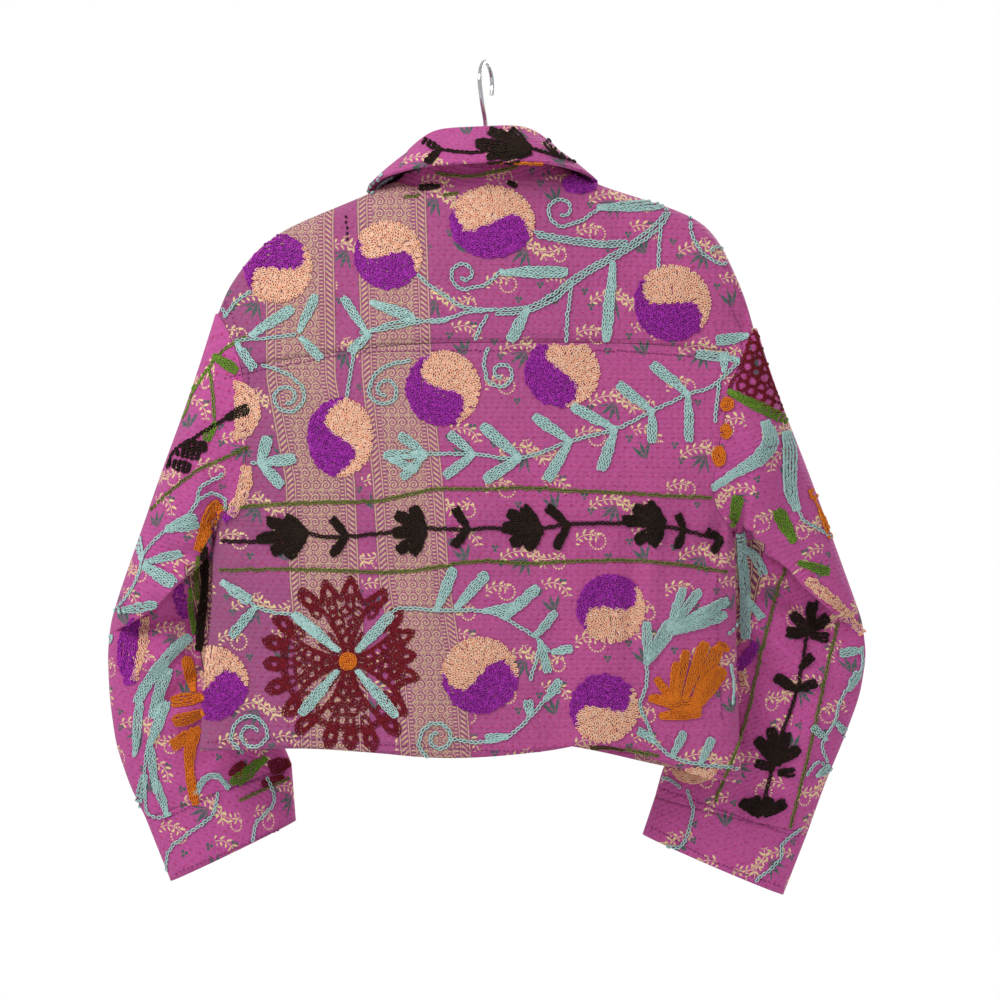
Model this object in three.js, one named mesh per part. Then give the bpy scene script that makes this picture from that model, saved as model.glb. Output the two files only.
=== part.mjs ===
// A cropped jacket cut from a quilted, embroidered bedcover, hanging from a plain hanger.
// Millimetres. +Z is up, the front of the jacket faces -Y and the wearer's left arm is on +X.
// The origin is the top of the inside of the hook, where a rail would hold it.
import * as THREE from "three";

// Driving sizes
const CLOTH = 2.4; // quilted cloth, two old saris thick
const COLLAR_CLOTH = 2.6;
const SEAM_GAP = 0.3; // between pieces at a seam
const SHOULDER_X = 254; // half the width from one dropped shoulder seam to the other
const NECK_X = 88; // half the width of the neck seam
const NECK_BACK = 42; // how far the neck seam stands behind and before the shoulder ridge
const NECK_FRONT = 44;
const FRONT_NECK_Z = -178; // lowest point of the neck seam
const SHOULDER_DEPTH_SHARE = 0.35; // of the depth, reached in the first bend over the hanger
const SHOULDER_BEND = 14; // height of that bend
const DEPTH_GROWTH = 120; // height over which the rest of the depth opens
const ARMHOLE_DEPTH = 36; // half the width of the armhole seen from the side
const FRONT_EDGE_U = 0.0006; // where each front ends at the centre front
const PLACKET_HALF = 17;
const PLACKET_TOP_Z = -186;
const BUTTON_R = 9;
const BUTTON_THICK = 3.2;
const BUTTON_COUNT = 5;
const WIRE_R = 2; // hook wire
const HOOK_R = 20; // centre line of the hook's bend
const HANGER_HALF_THICK = 6;
const HANGER_HEIGHT = 24;
const HANGER_REACH = { left: 200, right: 195 };
const HANGER_CROWN_Z = -102; // top of the bar at the hook
const FOLD_R = 4; // centre line of the collar's roll

const COLOURS = {
  cloth: 0xb2559b,
  collar: 0xb4579d,
  placket: 0xa9508f,
  button: 0x4a2f26,
  wood: 0xc9a576,
  wire: 0xc8ccd0,
};

// Outline tables, in millimetres from the top of the hook. Left is the wearer's left.
// The shoulder line goes from the neck out to the dropped shoulder seam. Columns: x, z.
const SHOULDER_LINE = {
  left: [[88, -112], [115, -125], [147, -138], [193, -158], [218, -177], [233, -196], [246, -215], [254, -236]],
  right: [[88, -106], [118, -119], [153, -129], [202, -148], [221, -167], [235, -196], [247, -224], [254, -250]],
};
// The edge of the body from the shoulder seam down the armhole to the underarm, then down the side seam. Columns: z, x.
const BODY_EDGE = {
  left: [[-236, 254], [-258, 241], [-299, 227], [-357, 224], [-385, 225], [-412, 234], [-439, 256],
    [-509, 260], [-585, 267], [-652, 272]],
  right: [[-250, 254], [-276, 243], [-307, 231], [-370, 217], [-402, 213], [-424, 216], [-446, 236],
    [-475, 237], [-550, 238], [-620, 240], [-683, 243]],
};
const UNDERARM_Z = { left: -439, right: -446 };
// Cross seams of the back, by the share u of the half width: -1 is the right edge and 1 the left. Columns: u, z.
const YOKE_SEAM = [[-1, -276], [-0.6, -268], [0, -267], [0.3, -269], [0.6, -277], [1, -291]];
const BACK_HEM = [[-1, -683], [-0.82, -672], [-0.62, -655], [-0.5, -644], [-0.38, -642], [-0.25, -648],
  [0.1, -655], [0.4, -650], [0.65, -647], [1, -652]];
const FRONT_HEM = [[-1, -683], [-0.8, -674], [-0.6, -665], [-0.45, -657], [-0.3, -651], [0, -649], [0.5, -648],
  [1, -652]];
// The neck seam's height behind, by x. Columns: x, z.
const BACK_NECK = [[-88, -106], [-60, -109], [-20, -116], [20, -121], [60, -121], [88, -112]];
// Half the depth of the body at its middle, by height. Columns: z, depth.
const BACK_DEPTH = [[-690, 43], [-560, 47], [-440, 50], [-267, 46], [-100, 42]];
const FRONT_DEPTH = [[-690, 46], [-560, 50], [-440, 52], [-267, 47], [-100, 44]];

// The largest soft folds of the body. Each runs up from the hem and dies out.
// Columns: u at the hem, half width in u, height of its upper end, depth outwards (negative is a trough).
const BACK_FOLDS = [
  { u: -0.42, half: 0.16, topZ: -500, out: 6 },
  { u: -0.7, half: 0.14, topZ: -470, out: -5 },
  { u: 0.22, half: 0.22, topZ: -520, out: 4 },
  { u: 0.62, half: 0.16, topZ: -450, out: -4 },
];
const FRONT_FOLDS = [
  { u: -0.5, half: 0.16, topZ: -480, out: 5 },
  { u: -0.25, half: 0.13, topZ: -430, out: -4 },
  { u: 0.35, half: 0.15, topZ: -460, out: -5 },
  { u: 0.6, half: 0.15, topZ: -500, out: 5 },
];

const OUTLINE_EYE = { x: -13, z: -414, distance: 2500 };
// Sleeve sections, each a flat oval. outX, outZ is its outer edge and inX, inZ its inner edge, seen from the back;
// y is its middle and half its half depth. The sleeve swings forward and passes in front of the body.
const SLEEVE_SECTIONS = {
  left: [
    { outX: 272, outZ: -286, inX: 259, inZ: -452, y: -4, half: 38 },
    { outX: 290, outZ: -338, inX: 260, inZ: -466, y: -16, half: 39 },
    { outX: 310, outZ: -392, inX: 261, inZ: -482, y: -28, half: 38 },
    { outX: 329, outZ: -447, inX: 260, inZ: -502, y: -38, half: 36 },
    { outX: 346, outZ: -495, inX: 256, inZ: -522, y: -46, half: 36 },
    { outX: 357, outZ: -530, inX: 245, inZ: -547, y: -52, half: 34 },
    { outX: 360, outZ: -562, inX: 231, inZ: -574, y: -57, half: 32 },
    { outX: 358, outZ: -604, inX: 214, inZ: -604, y: -61, half: 30 },
    { outX: 352, outZ: -647, inX: 200, inZ: -631, y: -61, half: 29 },
    { outX: 339, outZ: -685, inX: 190, inZ: -650, y: -64, half: 27 },
    { outX: 324, outZ: -716, inX: 184, inZ: -664, y: -66, half: 25 },
  ],
  right: [
    { outX: 269, outZ: -289, inX: 239, inZ: -460, y: -4, half: 38 },
    { outX: 285, outZ: -333, inX: 240, inZ: -474, y: -16, half: 39 },
    { outX: 306, outZ: -386, inX: 238.5, inZ: -490, y: -28, half: 38 },
    { outX: 326, outZ: -440, inX: 236, inZ: -507, y: -38, half: 36 },
    { outX: 344, outZ: -490, inX: 234, inZ: -528, y: -46, half: 36 },
    { outX: 358, outZ: -528, inX: 226, inZ: -552, y: -52, half: 34 },
    { outX: 362, outZ: -561, inX: 215, inZ: -578, y: -57, half: 32 },
    { outX: 356, outZ: -599, inX: 200, inZ: -608, y: -61, half: 30 },
    { outX: 341, outZ: -640, inX: 181, inZ: -638, y: -61, half: 29 },
    { outX: 322, outZ: -685, inX: 167, inZ: -669, y: -64, half: 27 },
    { outX: 306, outZ: -730, inX: 160, inZ: -695, y: -66, half: 25 },
  ],
};
const CUFF_END = {
  left: { outX: 300, outZ: -776, inX: 180, inZ: -718, y: -70, half: 23 },
  right: { outX: 283, outZ: -789, inX: 148, inZ: -731, y: -70, half: 23 },
};
// The deep creases at the bend of each sleeve, seen from the back: a step along the line from a to b,
// steep on its upper side and easing out over the fade below it.
const SLEEVE_CREASES = {
  left: [{ ax: 250, az: -410, bx: 290, bz: -560, depth: 17, onset: 24, fade: 34 }],
  right: [{ ax: 232, az: -436, bx: 362, bz: -552, depth: 16, onset: 26, fade: 60 }],
};

// The collar, as seen from OUTLINE_EYE, by its share of the way from the centre back (0) to the centre front (1).
// The roll is the fold's top and the edge is the free edge of the fall. Columns: share, x, y, z.
const COLLAR_ROLL = [[0, 0, 36, -60], [0.2, 42, 33, -61], [0.33, 58, 24, -71], [0.46, 71, 4, -85],
  [0.65, 64, -28, -109], [0.85, 36, -46, -136], [1, 6, -50, -150]];
const COLLAR_EDGE = [[0, 0, 70, -93], [0.2, 52, 66, -94], [0.33, 80, 48, -100], [0.44, 101, 20, -107],
  [0.52, 109, 0, -114], [0.6, 109, -23, -125], [0.7, 103, -37, -150], [0.85, 80, -46, -190], [1, 44, -55, -226]];
const COLLAR_SHIFT = 7; // the collar sits this far towards the wearer's left
const COLLAR_TILT = 0.05; // and hangs lower there

// Columns of the body's panels, by u, and rows, by share of each band of height.
const NECK_U = NECK_X / SHOULDER_X;
const NECK_COLUMNS = [0.08, 0.17, 0.25, 0.3, 0.33, NECK_U];
const SHOULDER_COLUMNS = [0.42, 0.52, 0.63, 0.74, 0.82, 0.88, 0.93, 0.97, 1];
const YOKE_ROWS = 6;
const ARMHOLE_SHARES = [0, 0.2, 0.4, 0.58, 0.74, 0.87, 0.96, 1]; // closer together under the arm
const ARMHOLE_ROWS = ARMHOLE_SHARES.length - 1;
const SKIRT_ROWS = 9;
const RINGS_PER_SECTION = 2;
const SEAM_FLARE = { least: 2.5, most: 9 }; // how far a sleeve leaves its seam sideways

const clamp = (value, low, high) => Math.min(high, Math.max(low, value));
const mix = (a, b, share) => a + (b - a) * share;
const smooth = (share) => {
  const s = clamp(share, 0, 1);
  return s * s * (3 - 2 * s);
};
const point = (x, y, z) => new THREE.Vector3(x, y, z);
const mixPoints = (a, b, share) => a.clone().lerp(b, share);

// A smooth curve through a table's rows, read at any value of its first column.
function curveThrough(rows, column = 1) {
  const sorted = [...rows].sort((a, b) => a[0] - b[0]);
  const slope = (i) => {
    const before = sorted[Math.max(0, i - 1)];
    const after = sorted[Math.min(sorted.length - 1, i + 1)];
    return (after[column] - before[column]) / (after[0] - before[0]);
  };
  return (at) => {
    const x = clamp(at, sorted[0][0], sorted[sorted.length - 1][0]);
    let i = sorted.findIndex((row) => row[0] >= x);
    i = clamp(i, 1, sorted.length - 1);
    const [low, high] = [sorted[i - 1], sorted[i]];
    const width = high[0] - low[0];
    const s = (x - low[0]) / width;
    const easeIn = s * (1 - s) * (1 - s) * width * slope(i - 1);
    const easeOut = s * s * (s - 1) * width * slope(i);
    return mix(low[column], high[column], smooth(s)) + easeIn + easeOut;
  };
}

const sideOf = (u) => (u >= 0 ? "left" : "right");
const shoulderZ = {
  left: curveThrough(SHOULDER_LINE.left),
  right: curveThrough(SHOULDER_LINE.right),
};
const edgeX = { left: curveThrough(BODY_EDGE.left), right: curveThrough(BODY_EDGE.right) };
const yokeZ = curveThrough(YOKE_SEAM);
const backHemZ = curveThrough(BACK_HEM);
const frontHemZ = curveThrough(FRONT_HEM);
const backNeckZ = curveThrough(BACK_NECK);
const backDepth = curveThrough(BACK_DEPTH);
const frontDepth = curveThrough(FRONT_DEPTH);
const shoulderPointZ = (side) => BODY_EDGE[side][0][0];
const hemPoint = (side) => BODY_EDGE[side][BODY_EDGE[side].length - 1];

// How far from the middle a column u lies at height z. Only the outer columns follow the armhole's curve.
function bodyX(u, z) {
  const side = sideOf(u);
  const [hemZ, hemX] = hemPoint(side);
  const top = shoulderPointZ(side);
  const straight = mix(SHOULDER_X, hemX, clamp((top - z) / (top - hemZ), 0, 1));
  const edge = z > top ? SHOULDER_X : edgeX[side](z);
  const size = Math.abs(u);
  return Math.sign(u) * (size * straight + size ** 5 * (edge - straight));
}

// The armhole seen from the side is an ellipse: its half width at height z.
function armholeDepth(side, z) {
  const share = (shoulderPointZ(side) - z) / (shoulderPointZ(side) - UNDERARM_Z[side]);
  if (share <= 0 || share >= 1) return 0;
  return ARMHOLE_DEPTH * Math.sqrt(1 - (2 * share - 1) ** 2);
}

// One face of the body, back or front, as a surface of u and v. v runs from 0 at the neck and shoulder seams
// through 1 at the yoke seam and 2 at the underarm to 3 at the hem.
function bodyFace(face) {
  const isBack = face === "back";
  const depth = isBack ? backDepth : frontDepth;
  const hemZ = isBack ? backHemZ : frontHemZ;
  const neckDepth = isBack ? NECK_BACK : NECK_FRONT;
  const folds = isBack ? BACK_FOLDS : FRONT_FOLDS;

  const neckShare = (u) => Math.sqrt(Math.max(0, 1 - (u / NECK_U) ** 2));
  function topZ(u) {
    if (Math.abs(u) >= NECK_U) return shoulderZ[sideOf(u)](Math.abs(u) * SHOULDER_X);
    if (isBack) return backNeckZ(u * SHOULDER_X);
    const corner = shoulderZ[sideOf(u)](NECK_X);
    return mix(corner, FRONT_NECK_Z, neckShare(u) ** 1.7);
  }
  function heightAt(u, v) {
    const top = topZ(u);
    const yoke = yokeZ(u);
    const underarm = mix(UNDERARM_Z.right, UNDERARM_Z.left, (u + 1) / 2);
    if (v <= 1) return mix(top, yoke, v ** 1.7);
    if (v <= 2) return mix(yoke, underarm, v - 1);
    return mix(underarm, hemZ(u), v - 2);
  }
  return (u, v) => {
    const side = sideOf(u);
    const z = heightAt(u, v);
    const drop = topZ(u) - z;
    const bend = Math.sqrt(1 - (1 - Math.min(1, drop / SHOULDER_BEND)) ** 2);
    const open = SHOULDER_DEPTH_SHARE * bend
      + (1 - SHOULDER_DEPTH_SHARE) * (1 - Math.exp(-drop / DEPTH_GROWTH));
    const belowNeck = smooth(1 - Math.abs(u) / (1.9 * NECK_U));
    const topDepth = neckDepth * mix(neckShare(u), belowNeck, 1 - Math.exp(-drop / 22));
    const middle = mix(topDepth, depth(z), open);
    const edge = armholeDepth(side, z);
    const inside = ARMHOLE_DEPTH * clamp(armholeDepth(side, z) / ARMHOLE_DEPTH, 0, 1) ** 2;
    const rim = mix(inside, edge, Math.abs(u) ** 12);
    const flatTop = 1 - Math.abs(u) ** 3;
    const oval = Math.sqrt(Math.max(0, 1 - u * u));
    const shape = mix(flatTop, oval, smooth((UNDERARM_Z[side] + 90 - z) / 90));
    const ridge = SHOULDER_DEPTH_SHARE * bend * depth(z) * (1 - Math.abs(u) ** 14 - shape);
    let y = rim + (middle - rim) * shape + ridge * (1 - smooth((shoulderPointZ(side) - z + 40) / 120));
    for (const fold of folds) {
      const across = 1 - smooth(Math.abs(u - fold.u) / fold.half);
      y += fold.out * across * smooth((fold.topZ - z) / 130);
    }
    const away = y + SEAM_GAP / 2;
    return point(bodyX(u, z), isBack ? away : -away, z);
  };
}
const backFace = bodyFace("back");
const frontFace = bodyFace("front");

// The outward normal of a surface of two parameters, from differences kept inside its range.
function normalOf(surface, u, v, uRange, vRange, outward) {
  const du = 0.004;
  const dv = 0.01;
  const across = surface(Math.min(uRange[1], u + du), v).sub(surface(Math.max(uRange[0], u - du), v));
  const down = surface(u, Math.min(vRange[1], v + dv)).sub(surface(u, Math.max(vRange[0], v - dv)));
  const normal = across.cross(down).normalize();
  return normal.dot(outward) < 0 ? normal.negate() : normal;
}

// A closed solid from two matching grids of points. ring closes each row on itself.
function wallSolid(outer, inner, ring = false) {
  const rows = outer.length;
  const columns = outer[0].length;
  const count = rows * columns;
  const points = [...outer.flat(), ...inner.flat()];
  const faces = [];
  const at = (layer, r, c) => layer * count + r * columns + (c % columns);
  const quad = (a, b, c, d) => faces.push(a, b, c, a, c, d);
  const lastColumn = ring ? columns : columns - 1;
  for (let r = 0; r < rows - 1; r += 1) {
    for (let c = 0; c < lastColumn; c += 1) {
      const corners = [[r, c], [r + 1, c], [r + 1, c + 1], [r, c + 1]];
      const [a, b, d, e] = corners.map(([row, column]) => points[at(0, row, column)]);
      if (b.distanceTo(e) < a.distanceTo(d)) corners.push(corners.shift()); // split along the shorter diagonal
      quad(...corners.map(([row, column]) => at(0, row, column)));
      quad(...[0, 3, 2, 1].map((k) => at(1, ...corners[k])));
    }
  }
  // A sleeve's rim is split the same way as the rims of the panels that it meets.
  for (let c = 0; c < lastColumn; c += 1) {
    if (ring && c >= columns / 2) quad(at(0, 0, c + 1), at(1, 0, c + 1), at(1, 0, c), at(0, 0, c));
    else quad(at(0, 0, c), at(0, 0, c + 1), at(1, 0, c + 1), at(1, 0, c));
    quad(at(0, rows - 1, c + 1), at(0, rows - 1, c), at(1, rows - 1, c), at(1, rows - 1, c + 1));
  }
  if (!ring) {
    const end = columns - 1;
    for (let r = 0; r < rows - 1; r += 1) {
      quad(at(0, r, 0), at(1, r, 0), at(1, r + 1, 0), at(0, r + 1, 0));
      quad(at(0, r, end), at(0, r + 1, end), at(1, r + 1, end), at(1, r, end));
    }
  }
  return solidFrom(points, faces);
}

// A geometry from points and faces, turned to face outwards if its volume comes out negative.
function solidFrom(points, faces) {
  let volume = 0;
  for (let i = 0; i < faces.length; i += 3) {
    const [a, b, c] = [points[faces[i]], points[faces[i + 1]], points[faces[i + 2]]];
    volume += a.dot(b.clone().cross(c));
  }
  const turned = [];
  for (let i = 0; i < faces.length; i += 3) {
    turned.push(faces[i], ...(volume < 0 ? [faces[i + 2], faces[i + 1]] : [faces[i + 1], faces[i + 2]]));
  }
  const geometry = new THREE.BufferGeometry();
  geometry.setAttribute("position", new THREE.Float32BufferAttribute(points.flatMap((p) => p.toArray()), 3));
  geometry.setIndex(turned);
  geometry.computeVertexNormals();
  return geometry;
}

const jacket = new THREE.Group();
const finishes = Object.fromEntries(Object.entries(COLOURS).map(([name, color]) => [
  name,
  new THREE.MeshStandardMaterial({
    color,
    roughness: name === "wire" ? 0.25 : name === "button" ? 0.4 : 0.9,
    metalness: name === "wire" ? 1 : 0,
  }),
]));
function addPiece(name, geometry, finish) {
  const mesh = new THREE.Mesh(geometry, finishes[finish]);
  mesh.name = name;
  jacket.add(mesh);
}

// Body panels

// The rows of v from one seam to another. Band 0 is the yoke, 1 the armhole band and 2 the skirt.
function rowsBetween(first, last) {
  const evenly = (count) => Array.from({ length: count + 1 }, (_, i) => i / count);
  const shares = [evenly(YOKE_ROWS), ARMHOLE_SHARES, evenly(SKIRT_ROWS)];
  const rows = [first];
  for (let band = first; band < last; band += 1) {
    rows.push(...shares[band].slice(1).map((share) => band + share));
  }
  return rows;
}

// A panel of the body over some columns u and rows v. A row moved by nudge, in v, opens the seam gap.
function bodyPanel(face, columns, rows) {
  const surface = face === "back" ? backFace : frontFace;
  const facing = face === "back" ? 1 : -1;
  const uRange = [columns[0], columns[columns.length - 1]];
  const outer = [];
  const inner = [];
  for (const v of rows) {
    const outerRow = [];
    const innerRow = [];
    for (const u of columns) {
      const p = surface(u, v);
      const normal = normalOf(surface, u, v, uRange, [0, 3], point(0, facing, 0.3));
      // Under the arm the wall's edge stands upright, between the body and the sleeve that folds down beside it.
      if (Math.abs(u) === 1 && v <= 2) normal.lerp(point(0, 0, -1), smooth((v - 1.4) / 0.6)).normalize();
      const q = p.clone().addScaledVector(normal, -CLOTH);
      const onShoulder = v === 0 && Math.abs(u) >= NECK_U;
      const onSide = v >= 2 && Math.abs(u) === 1;
      if (onShoulder || onSide) q.y = p.y;
      q.y = facing * Math.max(SEAM_GAP / 2, facing * q.y);
      if (Math.abs(u) === FRONT_EDGE_U) q.x = p.x;
      outerRow.push(p);
      innerRow.push(q);
    }
    outer.push(outerRow);
    inner.push(innerRow);
  }
  return { outer, inner };
}

const halfColumns = [...NECK_COLUMNS, ...SHOULDER_COLUMNS];
const backColumns = [...halfColumns.map((u) => -u).reverse(), 0, ...halfColumns];
const leftColumns = [FRONT_EDGE_U, ...halfColumns];
const rightColumns = leftColumns.map((u) => -u).reverse();
const YOKE_NUDGE = 0.0015;
const LOWER_NUDGE = 0.0009;
const yokeRows = rowsBetween(0, 1).map((v) => (v === 1 ? 1 - YOKE_NUDGE : v));
const lowerRows = rowsBetween(1, 3).map((v) => (v === 1 ? 1 + LOWER_NUDGE : v));
const yoke = bodyPanel("back", backColumns, yokeRows);
const lowerBack = bodyPanel("back", backColumns, lowerRows);
const fronts = {
  left: bodyPanel("front", leftColumns, rowsBetween(0, 3)),
  right: bodyPanel("front", rightColumns, rowsBetween(0, 3)),
};
addPiece("back_yoke", wallSolid(yoke.outer, yoke.inner), "cloth");
addPiece("back_panel", wallSolid(lowerBack.outer, lowerBack.inner), "cloth");
addPiece("front_left", wallSolid(fronts.left.outer, fronts.left.inner), "cloth");
addPiece("front_right", wallSolid(fronts.right.outer, fronts.right.inner), "cloth");

// Sleeves and cuffs

// The armhole's seam as a ring of points, from the shoulder down the back to the underarm and up the front.
// layer is outer or inner.
function armholeRing(side, layer) {
  const end = (row) => (side === "left" ? row[row.length - 1] : row[0]);
  const backRows = [...yoke[layer].slice(0, -1), ...lowerBack[layer].slice(0, ARMHOLE_ROWS + 1)].map(end);
  const frontRows = fronts[side][layer].slice(0, YOKE_ROWS + ARMHOLE_ROWS + 1).map(end);
  const ring = backRows.map((p) => p.clone());
  ring[0].y = 0;
  ring[ring.length - 1].y = 0;
  for (let i = frontRows.length - 2; i > 0; i -= 1) ring.push(frontRows[i].clone());
  return ring;
}

// The sleeve tables are as seen from OUTLINE_EYE behind the jacket. What hangs further off is larger than it looks.
function asSeen(x, y, z) {
  const spread = 1 - y / OUTLINE_EYE.distance;
  return point(mix(OUTLINE_EYE.x, x, spread), y, mix(OUTLINE_EYE.z, z, spread));
}

// A section's oval at the angle given, 0 at the outer edge and a quarter turn at the back.
function ovalPoint(section, sign, angle) {
  const out = asSeen(sign * section.outX, section.y, section.outZ);
  const inn = asSeen(sign * section.inX, section.y, section.inZ);
  const middle = mixPoints(out, inn, 0.5);
  const arm = out.sub(inn).multiplyScalar(0.5 * Math.cos(angle));
  return middle.add(arm).add(point(0, section.half * Math.sin(angle), 0));
}

function mixSections(a, b, share) {
  return Object.fromEntries(Object.keys(a).map((key) => [key, mix(a[key], b[key], share)]));
}

// How far a point on the back of a sleeve is pressed in by the creases.
function creaseDepth(creases, x, z) {
  let depth = 0;
  for (const crease of creases) {
    const along = point(crease.bx - crease.ax, 0, crease.bz - crease.az);
    const length = along.length();
    along.normalize();
    const from = point(x - crease.ax, 0, z - crease.az);
    const share = from.dot(along) / length;
    const below = from.x * along.z - from.z * along.x;
    const taper = smooth((share + 0.15) / 0.25) * smooth((1.15 - share) / 0.25);
    const profile = below < 0
      ? 1 - smooth(-below / crease.onset)
      : 1 - smooth(below / crease.fade);
    depth += crease.depth * taper * profile;
  }
  return depth;
}

function ringNormals(rings) {
  return rings.map((ring, r) => ring.map((p, c) => {
    const next = ring[(c + 1) % ring.length];
    const before = ring[(c + ring.length - 1) % ring.length];
    const below = rings[Math.min(rings.length - 1, r + 1)][c];
    const above = rings[Math.max(0, r - 1)][c];
    return next.clone().sub(before).cross(below.clone().sub(above)).normalize();
  }));
}

// The inner face of a tube of rings, offset inwards from the outer face.
function insideOf(rings, thickness) {
  const normals = ringNormals(rings);
  const last = rings[rings.length - 1];
  const middle = last.reduce((sum, p) => sum.add(p), point(0, 0, 0)).divideScalar(last.length);
  const outwards = last.reduce((sum, p, c) => sum + normals[rings.length - 1][c].dot(p.clone().sub(middle)), 0);
  const inwards = -Math.sign(outwards) * thickness;
  return rings.map((ring, r) => ring.map((p, c) => p.clone().addScaledVector(normals[r][c], inwards)));
}

function sleeveAndCuff(side) {
  const sign = side === "left" ? 1 : -1;
  const outwards = point(sign * (SEAM_GAP + 0.05), 0, 0);
  const firstOuter = armholeRing(side, "outer").map((p) => p.add(outwards));
  const firstInner = armholeRing(side, "inner").map((p) => p.add(outwards));
  const half = firstOuter.length / 2;

  // Angles that match the armhole's rows near the seam and even out further down.
  const [topZ, bottomZ] = [firstOuter[0].z, firstOuter[half].z];
  const angleAt = (i, even) => {
    const k = i <= half ? i : firstOuter.length - i;
    const drop = clamp((topZ - firstOuter[i].z) / (topZ - bottomZ), 0, 1);
    const angle = mix(Math.acos(1 - 2 * drop), (Math.PI * k) / half, even);
    return i <= half ? angle : -angle;
  };

  // The sleeve leaves the seam sideways before it drops, so that it hangs clear of the body.
  const sections = SLEEVE_SECTIONS[side];
  const leaving = firstOuter.map((p, i) => {
    const out = mix(SEAM_FLARE.least, SEAM_FLARE.most, Math.abs(Math.sin(angleAt(i, 0))));
    return p.clone().add(point(sign * out, 0, -0.5));
  });
  const rings = [firstOuter, leaving];
  sections.forEach((section, s) => {
    const steps = s === 0 ? 1 : RINGS_PER_SECTION;
    for (let k = 1; k <= steps; k += 1) {
      const here = s === 0 ? section : mixSections(sections[s - 1], section, k / steps);
      const even = clamp((s - 1 + k / steps) / 4, 0, 1);
      rings.push(firstOuter.map((_, i) => {
        const p = ovalPoint(here, sign, angleAt(i, even));
        const onBack = smooth((p.y - here.y) / (0.6 * here.half));
        p.y -= onBack * creaseDepth(SLEEVE_CREASES[side], sign * p.x, p.z);
        return p;
      }));
    }
  });
  const inner = insideOf(rings, CLOTH);
  inner[0] = firstInner;
  addPiece(`sleeve_${side}`, wallSolid(rings, inner, true), "cloth");

  // The cuff starts just past the sleeve's last ring and runs on to its own end.
  const last = rings[rings.length - 1];
  const lastInner = inner[inner.length - 1];
  const axis = ovalPoint(CUFF_END[side], sign, Math.PI / 2)
    .sub(ovalPoint(sections[sections.length - 1], sign, Math.PI / 2)).normalize();
  const step = axis.clone().multiplyScalar(SEAM_GAP + 0.05);
  const cuffRows = 3;
  const cuffRings = [last.map((p) => p.clone().add(step))];
  for (let r = 1; r <= cuffRows; r += 1) {
    const here = mixSections(sections[sections.length - 1], CUFF_END[side], r / cuffRows);
    cuffRings.push(last.map((_, i) => ovalPoint(here, sign, angleAt(i, 1))));
  }
  const cuffInner = insideOf(cuffRings, CLOTH);
  cuffInner[0] = lastInner.map((p) => p.clone().add(step));
  addPiece(`cuff_${side}`, wallSolid(cuffRings, cuffInner, true), "cloth");
}
sleeveAndCuff("left");
sleeveAndCuff("right");

// Collar: one folded sheet from the neck seam up to the roll and down to the free edge, cut at the top of the roll.

// The neck seam's columns, from the centre front on the left, round the back, to the centre front on the right.
function neckSeam() {
  const isNeck = (u) => Math.abs(u) <= NECK_U;
  const pick = (panel, columns) => columns
    .map((u, c) => ({ u, outer: panel.outer[0][c], inner: panel.inner[0][c] }))
    .filter((entry) => isNeck(entry.u));
  const left = pick(fronts.left, leftColumns);
  const right = pick(fronts.right, rightColumns);
  const back = pick(yoke, backColumns).reverse();
  return [...left.slice(0, -1), ...back, ...right.slice(1)];
}

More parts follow.
